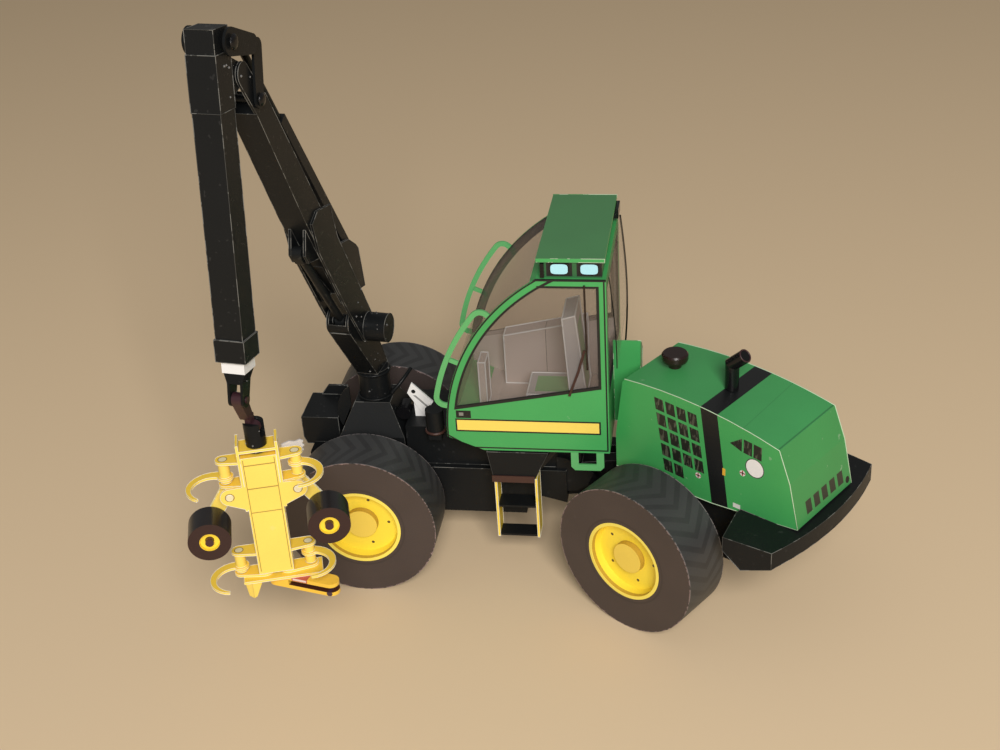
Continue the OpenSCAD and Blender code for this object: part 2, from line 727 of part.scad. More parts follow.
// Rotator: short cylinder with a slotted top and a spindle with a washer for the head
module rotator() {
  low = plate_z + card + 0.2;
  color(black) at_crane() translate([head_r, head_s, head_lift]) union() {
    difference() {
      translate([0, 0, low]) cylinder(r = 2.4, h = swivel_z + 1.6 - low);
      translate([-1.25, -4, swivel_z - 1.8]) cube([2.5, 8, 8]);
    }
    translate([-2, 0, swivel_z]) rotate([0, 90, 0]) cylinder(r = pin_r, h = 4);
    translate([0, 0, plate_z - 0.7]) cylinder(r = 1.2, h = 3);
    translate([0, 0, plate_z - 0.8]) cylinder(r = 2, h = card);
  }
}

// Head: spine of folded card with its top plate, wings, brackets and foot plate
module head_frame() {
  back = face_k - 5;
  color(yellow) at_head() union() {
    difference() {
      translate([-2.7, -4.8, plate_z]) cube([5.3, 9.6, card]);
      translate([0, 0, plate_z - 1]) cylinder(r = 1.2 + pin_gap, h = 3);
    }
    for (s = [-1, 1]) translate([-2.7, s > 0 ? spine_half - card + 0.7 : -4.8, 57])
      cube([5.3, card, plate_z + 2.2 - 57]);
    difference() {
      translate([back, -spine_half, 38.5]) cube([5, 2 * spine_half, 33]);
      translate([back - 1, -spine_half + card, 37]) cube([5 - card + 1, 2 * spine_half - 2 * card, 34]);
    }
    translate([face_k - card, 0, 0]) rotate([90, 0, 90]) linear_extrude(card) {
      for (s = [-1, 1]) scale([s, 1]) bar2d([7.9, 61.4], 2.2, [3, 60.5], 3.4);
    }
    for (z = [69.6, 63.2, 43.6, 37.4]) translate([0, 0, z]) linear_extrude(card)
      for (s = [-1, 1]) scale([1, s]) bar2d([-0.5, knife_out], 1.8, [0, 3], 2.2);
    translate([back, -8, 36.8]) cube([6, 19, card]);
    for (s = [-1, 1]) translate([back - 0.4, s * 7.9, 61.4]) rotate([0, 90, 0]) cylinder(r = pin_r, h = 5.6);
    for (s = [-1, 1], z = [38, 63.8]) translate([-0.5, s * knife_out, z]) cylinder(r = pin_r, h = 5.7);
  }
}

// Arm of a feed roller, behind the roller, with the roller's axle
module roller_arm(s) {
  k = face_k - 5.4;
  color(yellow) at_head() translate([k, 0, 0]) rotate([90, 0, 90]) difference() {
    union() {
      linear_extrude(card) polygon([for (p = [[6.4, 60.2], [6.8, 62.6], [7.9, 63.1], [9.3, 62.5], [15.7, 52.4],
        [15.6, 51], [14.6, 50.2], [13.2, 50.4], [12.4, 51.2]]) [s * p[0], p[1]]]);
      translate([s * roller_out, 51.8, 0]) cylinder(r = 1, h = roller_len + 0.6 + card);
    }
    translate([s * 7.9, 61.4, -1]) cylinder(r = pin_r + pin_gap, h = 3);
  }
}
module roller_arm_left() { roller_arm(-1); }
module roller_arm_right() { roller_arm(1); }
module feed_roller(s) {
  k = face_k - 5.4 + card + slip;
  color([0.15, 0.1, 0.1]) at_head() translate([k, s * roller_out, 51.8]) rotate([0, 90, 0]) difference() {
    cylinder(r = roller_r, h = roller_len);
    translate([0, 0, -1]) cylinder(r = 1 + pin_gap, h = roller_len + 2);
    translate([0, 0, roller_len - 1]) cylinder(r = 2.3, h = 2);
  }
}
module feed_roller_left() { feed_roller(-1); }
module feed_roller_right() { feed_roller(1); }

// Curved knife on its upright sleeve, tapering to the tip, opened by a turn about the sleeve
function crescent(r, w0, w1, n) = concat(
  [for (i = [0 : n]) let (a = 180 - 180 * i / n, w = w0 + (w1 - w0) * i / n) (r + w) * [cos(a), sin(a)]],
  [for (i = [n : -1 : 0]) let (a = 180 - 180 * i / n, w = w0 + (w1 - w0) * i / n) (r - w) * [cos(a), sin(a)]]);
module knife(s, z, open, blade) {
  color(yellow) at_head() translate([-0.5, s * knife_out, z]) mirror([0, s > 0 ? 0 : 1, 0])
    rotate(open) difference() {
      union() {
        cylinder(r = 1.3, h = 5.2);
        translate([knife_arc, 0, blade]) linear_extrude(card) polygon(crescent(knife_arc, 1.3, 0.3, 14));
        translate([0, 0, blade]) cylinder(r = 1.9, h = card);
      }
      translate([0, 0, -1]) cylinder(r = pin_r + pin_gap, h = 9);
    }
}
module upper_knife_left() { knife(-1, 64.1, 37, 1); }
module upper_knife_right() { knife(1, 64.1, 0, 2.6); }
module lower_knife_left() { knife(-1, 38.3, 15, 1); }
module lower_knife_right() { knife(1, 38.3, 0, 2.6); }

// Saw housing under the foot plate
module saw_box() {
  len = 14.6;
  color([0.9, 0.65, 0.2]) at_head() translate([-1, 0, 33.4]) rotate(59) difference() {
    linear_extrude(3.4) polygon(concat(
      [for (a = [90 : 18 : 270]) 2.2 * [cos(a), sin(a)]],
      [for (a = [-90 : 18 : 90]) [len, 0] + 2 * [cos(a), sin(a)]]));
    translate([4, -4, 1.1]) cube([len, 8, 1.2]);
  }
}

front_frame();
front_axle();
front_box();
crane_pedestal();
valve_block();
round_tank();
step_box();
step_sides();
step_treads();
cab_side_left();
cab_side_right();
cab_shell();
cab_roof();
roof_lamps();
side_window_left();
side_window_right();
windscreen();
rear_window();
handrail_left();
handrail_right();
step_loop();
cab_seat();
cab_console();
rear_cab_box();
rear_frame();
rear_axle();
hood();
pre_cleaner();
exhaust_pipe();
rear_ballast();
front_left_tyre();
front_left_rim();
front_right_tyre();
front_right_rim();
rear_left_tyre();
rear_left_rim();
rear_right_tyre();
rear_right_rim();
crane_post();
lift_strut();
main_boom();
fold_cylinder();
fold_rod();
rocker_link();
outer_boom();
fold_link();
boom_extension();
extension_fork();
hanging_link();
rotator();
head_frame();
roller_arm_left();
roller_arm_right();
feed_roller_left();
feed_roller_right();
upper_knife_left();
upper_knife_right();
lower_knife_left();
lower_knife_right();
saw_box();
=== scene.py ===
# %% [markdown]
# # A card model of a forestry harvester
# The object is a small paper model, about 16 cm long, cut and folded from printed card. Its solids come
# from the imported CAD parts, so this lesson dresses them: printed card finishes, pale cut edges, glue
# marks and the small loose pieces. Everything is in metres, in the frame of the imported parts, and the
# measurements that follow are in millimetres, because that is how a card model is measured.

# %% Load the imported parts
import json
import math
import bpy
import bmesh
from mathutils import Matrix, Vector


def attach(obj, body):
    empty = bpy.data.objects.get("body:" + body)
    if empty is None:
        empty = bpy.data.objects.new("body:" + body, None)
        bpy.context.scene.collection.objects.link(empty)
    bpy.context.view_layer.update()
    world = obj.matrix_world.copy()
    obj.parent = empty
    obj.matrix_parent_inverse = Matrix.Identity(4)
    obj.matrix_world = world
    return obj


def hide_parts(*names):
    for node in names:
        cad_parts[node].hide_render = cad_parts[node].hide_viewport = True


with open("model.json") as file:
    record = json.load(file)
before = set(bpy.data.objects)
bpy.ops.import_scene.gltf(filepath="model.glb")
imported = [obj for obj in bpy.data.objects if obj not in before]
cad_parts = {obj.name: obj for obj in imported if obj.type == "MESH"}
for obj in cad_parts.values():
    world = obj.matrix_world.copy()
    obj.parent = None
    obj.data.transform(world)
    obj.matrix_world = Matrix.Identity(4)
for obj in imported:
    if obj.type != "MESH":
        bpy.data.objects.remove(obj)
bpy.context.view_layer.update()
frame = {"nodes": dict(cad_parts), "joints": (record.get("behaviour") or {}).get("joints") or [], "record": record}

nodes = frame["nodes"]
joints = {joint["name"]: joint for joint in frame["joints"]}

# %% [markdown]
# ## Places on the machine
# The model is posed with its rear frame and its crane turned, so each group has its own local frame. The
# joints say where these are: the steering pin is the origin of the front and rear frames, the slew joint
# that of the crane, and the joint above the head that of the head. A place turns local millimetres into
# metres in the shared frame.

# %% Local frames from the joints
class Place:
    """A local frame that stands upright: an origin on the floor and a heading about Z."""

    def __init__(self, joint, heading):
        x, y, _ = joints[joint]["pos_m"]
        self.origin, self.heading = Vector((x, y, 0)), heading

    def at(self, x, y, z):
        """The point x ahead, y to the left and z above the floor, in millimetres."""
        c, s = math.cos(self.heading), math.sin(self.heading)
        return self.origin + Vector((c * x - s * y, s * x + c * y, z)) / 1000


def heading_of(joint, side=0.0):
    """Direction of a joint's axis about Z, less a quarter turn where the axis points to the side."""
    x, y, _ = joints[joint]["axis"]
    return math.atan2(y, x) + side


front = Place("steering", 0.0)
rear = Place("steering", heading_of("rear_left_wheel_spin", -math.pi / 2))
crane = Place("crane_slew", heading_of("boom_lift", math.pi / 2))
head = Place("head_turn", heading_of("feed_roller_left_spin"))
for name, place in (("rear", rear), ("crane", crane), ("head", head)):
    print(name, "heads", round(math.degrees(place.heading), 1), "degrees")

# %% Height of a joint
def height(joint):
    """Height of a joint above the floor, in millimetres."""
    return joints[joint]["pos_m"][2] * 1000


print("the crane's fold is", round(height("outer_boom_fold"), 1), "mm above the floor")

# %% [markdown]
# ## Camera, floor and light
# The camera stands where the photograph was taken, a little above the model and to its left. The light is
# one wide soft lamp close to the camera's line, because the photograph shows the sides that face the
# camera brightest and throws the shadows away to the left. A dim even sky fills the rest.

# %% Camera at the photograph's angle
picture_width = 1000
focal_pixels = 1478.47
sensor = 36.0
camera_data = bpy.data.cameras.new("camera")
camera_data.sensor_width = sensor
camera_data.lens = focal_pixels * sensor / picture_width
camera_data.clip_start = 0.01
camera = bpy.data.objects.new("camera", camera_data)
bpy.context.scene.collection.objects.link(camera)
right = Vector((-0.9881017, -0.1425272, -0.0578016))
upward = Vector((0.0217637, -0.5016080, 0.8648212))
ahead = Vector((0.1522543, -0.8532733, -0.4987416))
turn = Matrix((right, upward, -ahead)).transposed().to_4x4()
camera.matrix_world = Matrix.Translation(front.at(-31.345, 348.142, 253.673)) @ turn
bpy.context.scene.camera = camera
print("lens", round(camera_data.lens, 2), "mm")

# %% Lamps
def lamp(name, place, aim, size, power, tint):
    """A square area lamp at place, aimed at a point."""
    data = bpy.data.lights.new(name, "AREA")
    data.shape, data.size = "SQUARE", size
    data.energy, data.color = power, tint
    made = bpy.data.objects.new(name, data)
    made.location = place
    made.rotation_euler = (aim - place).to_track_quat("-Z", "Y").to_euler()
    bpy.context.scene.collection.objects.link(made)


lamp_distance, lamp_size, lamp_power = 1.2, 0.45, 14.0
sky_strength = 0.20
warm_white = (1.0, 0.97, 0.93)
middle = Vector((0.0, 0.0, 0.05))
viewpoint = camera.matrix_world.translation
toward = (viewpoint - middle).normalized()
way_to_lamp = (toward + right * 0.10 + upward * 0.06).normalized()
lamp("key_lamp", middle + way_to_lamp * lamp_distance, middle, lamp_size, lamp_power, warm_white)

world = bpy.data.worlds.new("studio")
world.use_nodes = True
sky = world.node_tree.nodes["Background"]
sky.inputs["Color"].default_value = (*warm_white, 1)
sky.inputs["Strength"].default_value = sky_strength
bpy.context.scene.world = world
bpy.context.scene.view_settings.view_transform = "Standard"
print("one lamp of", lamp_power, "W,", lamp_distance, "m from the middle of the model")

# %% [markdown]
# ## Sums on shader sockets
# A printed pattern is a set of masks: a stripe is where a height lies between two numbers. Written as node
# links that is hard to read, so one small class wraps a socket and turns Python sums into Math nodes. A
# second class holds the material and makes every other node.

# %% A socket that can stand in a sum
def sum_node(operation, flipped=False):
    """A method that adds one Math node for this socket and another value."""
    def method(self, other=0.0):
        pair = (other, self) if flipped else (self, other)
        return self.finish.node("ShaderNodeMath", {"operation": operation}, {0: pair[0], 1: pair[1]})
    return method


class Wire:
    """One output socket of a material's nodes. A mask is 1 inside and 0 outside; & and | join masks."""

    def __init__(self, finish, socket):
        self.finish, self.socket = finish, socket

    __add__ = __radd__ = sum_node("ADD")
    __sub__, __rsub__ = sum_node("SUBTRACT"), sum_node("SUBTRACT", True)
    __mul__ = __rmul__ = sum_node("MULTIPLY")
    __truediv__, __rtruediv__ = sum_node("DIVIDE"), sum_node("DIVIDE", True)
    __gt__, __lt__ = sum_node("GREATER_THAN"), sum_node("LESS_THAN")
    __mod__, __pow__ = sum_node("FLOORED_MODULO"), sum_node("POWER")
    __and__, __or__ = sum_node("MINIMUM"), sum_node("MAXIMUM")
    __abs__ = sum_node("ABSOLUTE")

    def between(self, low, high):
        return (self > low) & (self < high)

    def near(self, value, width):
        return abs(self - value) < width / 2


# %% A material under construction
class Finish:
    """A material whose nodes are made one by one."""

    def __init__(self, name):
        self.material = bpy.data.materials.new(name)
        self.material.use_nodes = True
        self.tree = self.material.node_tree
        self.tree.nodes.clear()
        self.shader = self.tree.nodes.new("ShaderNodeBsdfPrincipled")
        output = self.tree.nodes.new("ShaderNodeOutputMaterial")
        self.tree.links.new(self.shader.outputs[0], output.inputs[0])
        self.where = self.node("ShaderNodeTexCoord", output="Object")

    def feed(self, socket, value):
        """Puts a number, a colour or a wire on a socket."""
        if isinstance(value, Wire):
            self.tree.links.new(value.socket, socket)
        elif socket.type == "RGBA":
            socket.default_value = (*value[:3], 1)
        else:
            socket.default_value = value

    def node(self, kind, settings=None, inputs=None, output=0):
        """Makes a node, first its settings and then its sockets, and returns one of its outputs."""
        made = self.tree.nodes.new(kind)
        for key, value in (settings or {}).items():
            setattr(made, key, value)
        for key, value in (inputs or {}).items():
            self.feed(made.inputs[key], value)
        return Wire(self, made.outputs[output])

    def mix(self, mask, outside, inside):
        """One colour outside the mask and another inside it."""
        return self.node("ShaderNodeMix", {"data_type": "RGBA"}, {0: mask, 6: outside, 7: inside}, 2)

    def noise(self, scale, detail=2.0, stretch=(1, 1, 1)):
        """Noise of about `scale` patches a metre, from 0 to 1."""
        where = self.node("ShaderNodeMapping", None, {"Vector": self.where, "Scale": stretch})
        return self.node("ShaderNodeTexNoise", None, {"Vector": where, "Scale": scale, "Detail": detail})

    def split(self, vector):
        """The three parts of a vector."""
        parts = self.tree.nodes.new("ShaderNodeSeparateXYZ")
        self.feed(parts.inputs[0], vector)
        return [Wire(self, output) for output in parts.outputs]

    def local(self, place, lift=0.0):
        """Local millimetres: ahead, to the left and above the floor, or above a lifted level."""
        origin = (place.origin.x, place.origin.y, lift / 1000)
        return self.split(self.node("ShaderNodeMapping", {"vector_type": "TEXTURE"}, {
            "Vector": self.where, "Location": origin, "Rotation": (0, 0, place.heading),
            "Scale": (0.001, 0.001, 0.001)}))

    def faces(self, place):
        """How far the surface faces ahead, to the left and up, in the place's frame."""
        normal = self.node("ShaderNodeTexCoord", output="Normal")
        return self.split(self.node("ShaderNodeVectorRotate", {"rotation_type": "Z_AXIS"}, {
            "Vector": normal, "Angle": -place.heading}))

    def shade(self, colour, strength):
        """A colour times a number."""
        return self.node("ShaderNodeVectorMath", {"operation": "SCALE"}, {0: colour, "Scale": strength})

    def done(self, colour, roughness=0.45, height=None, depth=0.00004, **plain):
        """Connects the surface. The plain values go on the shader's own sockets."""
        self.feed(self.shader.inputs["Base Color"], colour)
        self.feed(self.shader.inputs["Roughness"], roughness)
        if height is not None:
            bump = self.node("ShaderNodeBump", None, {"Height": height, "Distance": depth, "Strength": 0.6})
            self.feed(self.shader.inputs["Normal"], bump)
        for key, value in plain.items():
            self.feed(self.shader.inputs[key.replace("_", " ")], value)
        return self.material


# %% [markdown]
# ## Printed card
# Printed card is paper under a thin ink. Close up it shows three things: a slow change of tone where the
# ink lies thicker, a fine tooth from the fibres, and small scuffs that let the pale paper through. Every
# printed finish below is its own drawing in colour, passed through this one treatment of the surface. The
# patches are counted along a metre, and the places in a drawing are in local millimetres.

# %% The surface of printed card
tone_patches, tooth_patches, scuff_patches, worn_patches = 55, 2600, 420, 90


def printed(finish, drawing, scuff=0.5, gloss=0.42, paper=(0.72, 0.72, 0.66), specks=0.0, **plain):
    """Turns a drawing into printed card with tooth, tone and scuffs, and glue specks where asked."""
    tone = finish.noise(tone_patches, 3)
    tooth = finish.noise(tooth_patches, 2)
    ink = finish.shade(drawing, 0.86 + tone * 0.22 + tooth * 0.08)
    scuffs = (finish.noise(scuff_patches, 4) > 0.72) & (finish.noise(worn_patches, 2) > 0.5)
    ink = finish.mix(scuffs * (0.35 * scuff), ink, paper)
    roughness = gloss + tone * 0.16 - 0.08
    if specks:
        glue = finish.noise(specks, 1) > 0.72
        roughness = roughness - glue * 0.26
        ink = finish.mix(glue * 0.12, ink, (0.12, 0.12, 0.12))
    return finish.done(ink, roughness, tooth + tone * 0.5, 0.00003, **plain)


def plain_card(name, colour, **surface):
    """Card in one printed colour."""
    return printed(Finish(name), colour, **surface)


leaf_green = (0.056, 0.365, 0.100)
# A darker green painted as shade along creases and in the roof's lower band.
shade_green = (0.026, 0.130, 0.045)
ink_black = (0.0080, 0.0090, 0.0098)
worn_black = (0.085, 0.085, 0.082)
bare_card = (0.80, 0.81, 0.83)
inner_card = (0.50, 0.42, 0.385)
sun_yellow = (0.96, 0.70, 0.055)
pale_yellow = (0.93, 0.70, 0.13)
rust_brown = (0.055, 0.022, 0.017)

green_card = plain_card("green_card_finish", leaf_green)
light_green_card = plain_card("light_green_card_finish", (0.115, 0.43, 0.15))
black_card = plain_card("black_card_finish", ink_black, scuff=0.35, paper=worn_black, specks=700,
                        Specular_IOR_Level=0.20)
rough_black_card = plain_card("glued_black_card_finish", ink_black, scuff=0.6, gloss=0.34, paper=worn_black,
                              specks=1300, Specular_IOR_Level=0.14)
glossy_black = plain_card("glossy_black_finish", (0.006, 0.006, 0.007), scuff=0.0, gloss=0.16,
                          Specular_IOR_Level=0.30)
white_card = plain_card("bare_card_finish", bare_card, scuff=0.0)
brown_card = plain_card("brown_card_finish", rust_brown, scuff=0.3, paper=(0.16, 0.10, 0.09), specks=900)
dark_brown_card = plain_card("dark_brown_card_finish", (0.018, 0.008, 0.007), scuff=0.2, gloss=0.24,
                             paper=rust_brown)
purple_card = plain_card("purple_brown_card_finish", (0.040, 0.014, 0.019), paper=(0.16, 0.10, 0.10),
                         specks=1100)
# Painted shade: white card painted a mid grey for the shade it lies in; the pale scuffs are its bare paper.
shaded_white_card = plain_card("shaded_torn_card_finish", (0.56, 0.54, 0.55), scuff=0.8, paper=(0.8, 0.8, 0.8))
yellow_card = plain_card("yellow_card_finish", sun_yellow, scuff=0.2)
glue = Finish("clear_glue_finish").done((0.33, 0.33, 0.33), 0.12, Alpha=0.45)
print("plain card finishes made")

# %% [markdown]
# ## The printed hood
# On the paper model the grille, the black band, the marks and the plates are all print, not relief, so
# they belong in the material. Each one is a box or a circle in the hood's own lengths and heights. The
# grille leans back with height, so its columns are measured along a slanted coordinate, and a remainder
# repeats one cell over its four columns and five rows. The round plate is left blank.
# The darker top and rear face and the darker lines along the creases are painted shade.

# %% Hood drawing
def hood_drawing():
    finish = Finish("printed_hood_finish")
    u, v, z = finish.local(rear)
    _, to_side, up = finish.faces(rear)
    side = abs(to_side) > 0.8
    lean = (60.4 - z) * 0.142
    band = (u + lean).between(-42.65, -37.6)
    slanted = (58.2 - z) * 0.16
    column = (-23.2 - u - slanted) / 3.45
    row = (58.2 - z + (u + 23.2) * 0.05) / 4.35
    short_row = (row < 4) | (column < 2)
    cell = column.between(0, 4) & row.between(0, 5) & short_row & (column % 1 < 0.80) & (row % 1 < 0.80) & side
    streaks = finish.noise(1500, 3, (1, 1, 0.22))
    mesh_ink = finish.mix(streaks > 0.57, (0.014, 0.016, 0.012), (0.080, 0.085, 0.060))
    # Painted shade: the faces that look up get a darker green than the sides.
    plain = finish.mix(up > 0.75, leaf_green, (0.056, 0.320, 0.095))
    # Painted shade: darker green lines along the top's crease and the rear face's fold.
    crease = (u + v * 0.06).near(-49.6, 0.2) & (up > 0.75)
    fold = z.near(56.66, 0.2) & (u < -60.4) & (abs(v) < 15)
    # Painted shade: the hood's rear face gets a darker green than its sides.
    plain = finish.mix((u < -60.5) & (up < 0.75) & (side < 0.5), plain, (0.050, 0.285, 0.080))
    drawing = finish.mix(crease * 0.35 | fold * 0.7, finish.mix(band, plain, ink_black), shade_green)
    drawing = finish.mix(cell, drawing, mesh_ink)
    drop = z - (u + 47) * 0.10
    wedge = u.between(-50.2, -46.8) & (drop < 53.4 - (u + 46.8) * 0.8) & (drop > 53.2 + (u + 46.8) * 0.26)
    panes = (u.between(-53.2, -50.7) | u.between(-56.0, -53.6)) & drop.between(52.3, 56.2)
    drawing = finish.mix((wedge | panes) & side, drawing, mesh_ink)
    from_plate = ((u + 54.1) ** 2 + (z - 48.6) ** 2) ** 0.5
    drawing = finish.mix((from_plate < 2.75) & side, drawing, (0.06, 0.06, 0.06))
    drawing = finish.mix((from_plate < 2.5) & side, drawing, (0.86, 0.85, 0.85))
    tick = u.between(-45.5, -44.6) & z.between(42.9, 45.0) & side
    drawing = finish.mix(tick, drawing, (0.80, 0.45, 0.05))
    label = u.between(-50.2, -48.0) & z.between(34.6, 35.9) & side
    drawing = finish.mix(label, drawing, (0.68, 0.70, 0.66))
    for where, level in ((-37.2, 39.7), (-50.6, 45.8)):
        spot = ((u - where) ** 2 + (z - level) ** 2) ** 0.5
        drawing = finish.mix((spot < 0.85) & side, drawing, (0.72, 0.70, 0.68))
        arms = ((u - where).near(0, 0.34) | (z - level).near(0, 0.34)) & (spot < 0.8)
        drawing = finish.mix(arms & side, drawing, (0.40, 0.04, 0.04))
        drawing = finish.mix((spot < 0.3) & side, drawing, ink_black)
    tail = (u < -60.5) & (up < 0.6)
    slot_column = (8.0 - v) / 3.75
    slots = slot_column.between(0, 5) & (slot_column % 1 < 0.68) & z.between(37.3, 40.8)
    slots = slots & tail & (abs(to_side) < 0.5)
    drawing = finish.mix(slots, drawing, (0.030, 0.034, 0.024))
    hole = ((v + 11.4) ** 2 + (z - 37.2) ** 2) ** 0.5
    drawing = finish.mix((hole < 0.9) & tail, drawing, ink_black)
    return printed(finish, drawing)


printed_hood = hood_drawing()
print("nodes in the hood's finish:", len(printed_hood.node_tree.nodes))

# %% [markdown]
# ## The printed cab side
# The window is a real hole in the side, with the clear film behind it. Round it runs a black line, which
# follows the curved front as a ring about the same centre. Below it are a blank yellow stripe with a black
# outline and a dark door handle.

# %% Cab side drawing
arc_x, arc_z = -11.4, 44.1


def cab_side_drawing():
    finish = Finish("printed_cab_side_finish")
    x, y, z = finish.local(front)
    _, to_side, _ = finish.faces(front)
    ring = ((x - arc_x) ** 2 + (z - arc_z) ** 2) ** 0.5
    sill = z + (x - 1.5) * 0.1846
    inner = (ring > 51.2) & (ring < 51.9) & (z > 52)
    lines = inner | (sill.between(58.5, 59.35) & (x > 0.8) & (ring < 51.9))
    lines = lines | (x.near(1.15, 0.75) & z.between(58.6, 88.2)) | (z.near(87.95, 0.7) & x.between(0.8, 16.4))
    outline = (x.near(-0.5, 0.42) & (z > 39.6)) | (z.near(39.75, 0.42) & x.between(-0.6, 36.5))
    outline = outline | ((z - (x - 36.5) * 0.62).near(39.9, 0.5) & (x > 36.2))
    outline = outline | (ring.near(53.55, 0.42) & (z > 42.6))
    lines = lines | outline | z.near(89.8, 0.45)
    stripe = z.between(44.7, 48.7) & x.between(1.2, 39.9)
    yellow = z.between(45.15, 48.25) & x.between(1.65, 39.5)
    handle = z.between(48.9, 51.2) & x.between(35.6, 39.6)
    latch = z.between(49.6, 50.6) & x.between(37.6, 38.8)
    drawing = finish.mix(lines | stripe | handle, leaf_green, ink_black)
    drawing = finish.mix(yellow, drawing, pale_yellow)
    drawing = finish.mix(latch, drawing, (0.22, 0.22, 0.20))
    lining = finish.mix((ring > 49.5) & (z > 52), inner_card, (0.05, 0.045, 0.045))
    return printed(finish, finish.mix(y * to_side < -5, drawing, lining))


printed_cab_side = cab_side_drawing()
print("nodes in the cab side's finish:", len(printed_cab_side.node_tree.nodes))


# %% Cab shell and roof drawings
def shell_drawing():
    finish = Finish("printed_cab_shell_finish")
    x, y, z = finish.local(front)
    rear_wall = x < -0.3
    upright = abs(y).near(17.4, 0.6) & z.between(55.5, 86.5)
    level = (abs(y) < 17.7) & (z.near(55.7, 0.6) | z.near(86.3, 0.6))
    frame_line = upright | level
    drawing = finish.mix(frame_line & rear_wall, leaf_green, ink_black)
    inside = x.between(-0.5, 41) & (abs(y) < 20.15) & z.between(39.3, 41)
    mat = inside & (abs(y - 6) < 9) & x.between(6, 33)
    to_front, _, _ = finish.faces(front)
    drawing = finish.mix(inside | (x < 1) & (to_front > 0.5), drawing, inner_card)
    return printed(finish, finish.mix(mat, drawing, (0.07, 0.055, 0.055)))


def roof_drawing():
    finish = Finish("printed_roof_finish")
    x, y, z = finish.local(front)
    _, _, up = finish.faces(front)
    # Painted shade: faces that don't look up get a duller, darker green, and the roof's lower band is darker
    # still.
    shaded_cove = z < 94.45
    drawing = finish.mix(up > 0.7, leaf_green, (0.072, 0.235, 0.088))
    drawing = finish.mix(shaded_cove, drawing, shade_green)
    surround = shaded_cove & (abs(y) > 19.0) & z.between(90.4, 94.4) & (x.between(-0.2, 6.3) | x.between(7.4, 13.9))
    return printed(finish, finish.mix(surround, drawing, ink_black))


printed_shell = shell_drawing()
printed_roof = roof_drawing()
print("nodes in the shell's and the roof's finish:", len(printed_shell.node_tree.nodes),
      len(printed_roof.node_tree.nodes))

# %% [markdown]
# ## Wheels
# Each tyre is rolled card. The tread is printed as slanting bars that meet in the middle, and the wall is
# a brown black. The pattern follows the wheel, so it is drawn in the wheel's own coordinates: the angle
# round the axle, the radius and the distance across the tread. The four wheels need four materials,
# because each has its own centre. The rim is a yellow dish with a ring of small dark holes.

# %% Tyre and rim drawings
wheel_height = height("front_left_wheel_spin")
tread_half, tread_bars, rim_holes = 7.35, 30, 5


def wheel_coordinates(finish, place):
    """Radius from the axle, angle round it and distance across the tread."""
    x, across, z = finish.local(place, wheel_height)
    radius = (x ** 2 + z ** 2) ** 0.5
    angle = finish.node("ShaderNodeMath", {"operation": "ARCTAN2"}, {0: z, 1: x})
    return radius, angle, across


def tyre_drawing(name, place):
    finish = Finish(name + "_print")
    radius, angle, across = wheel_coordinates(finish, place)
    bars = angle * (tread_bars / math.tau) + abs(across) * 0.16
    bar = finish.noise(60, 2) * (bars % 1 < 0.42)
    tread = finish.mix(bar, (0.044, 0.045, 0.046), (0.018, 0.018, 0.019))
    wall = finish.mix(finish.noise(75, 3), (0.068, 0.050, 0.045), (0.046, 0.034, 0.032))
    wall = finish.mix(radius.near(12.2, 0.5) * 0.5, wall, (0.030, 0.022, 0.021))
    ragged = finish.noise(1100, 3)
    tread = finish.mix((abs(across) > tread_half - 0.26) & (ragged > 0.44), tread, (0.17, 0.15, 0.15))
    wall = finish.mix((radius > 20.58) & (ragged > 0.50), wall, (0.26, 0.17, 0.17))
    dots = (radius > 20.3) & (ragged > 0.68)
    wall = finish.mix(dots, wall, (0.34, 0.24, 0.23))
    return printed(finish, finish.mix(radius > 20.72, wall, tread), scuff=0.25, gloss=0.5,
                   paper=(0.16, 0.15, 0.14))


def rim_drawing(name, place):
    finish = Finish(name + "_print")
    radius, angle, _ = wheel_coordinates(finish, place)
    part_turn = (angle % (math.tau / rim_holes)) - math.pi / rim_holes
    ahead_of = finish.node("ShaderNodeMath", {"operation": "COSINE"}, {0: part_turn}) * radius - 7.3
    beside = finish.node("ShaderNodeMath", {"operation": "SINE"}, {0: part_turn}) * radius
    hole = (ahead_of ** 2 + beside ** 2) ** 0.5 < 0.42
    drawing = finish.mix(radius > 10.25, (0.97, 0.76, 0.06), (0.97, 0.80, 0.13))
    lines = radius.near(4.35, 0.18) | radius.near(10.2, 0.16)
    drawing = finish.mix(lines, drawing, (0.52, 0.33, 0.04))
    drawing = finish.mix(radius < 4.25, drawing, (0.90, 0.66, 0.10))
    return printed(finish, finish.mix(hole, drawing, (0.09, 0.06, 0.02)), scuff=0.3, gloss=0.38)


wheel_finish = {}
for name in ("front_left", "front_right", "rear_left", "rear_right"):
    place = Place(name + "_wheel_spin", rear.heading if name.startswith("rear") else 0.0)
    wheel_finish[name + "_tyre"] = tyre_drawing(name + "_tyre", place)
    wheel_finish[name + "_rim"] = rim_drawing(name + "_rim", place)
print("wheel finishes:", len(wheel_finish))

# %% [markdown]
# ## Clear film, seat, crane and head
# The windows are a thin film with a warm tint and a slight haze, so the shader lets most of what is behind
# it through. The head is pale yellow card whose folds are printed as fine dark lines, and the faces that
# look up are painted a deeper yellow as shade.

# %% Film, head and interior finishes
def film_finish():
    finish = Finish("clear_film_finish")
    haze = finish.noise(38, 3)
    colour = finish.mix(haze, (0.20, 0.15, 0.12), (0.30, 0.24, 0.20))
    return finish.done(colour, 0.14 + haze * 0.08, Alpha=0.18)


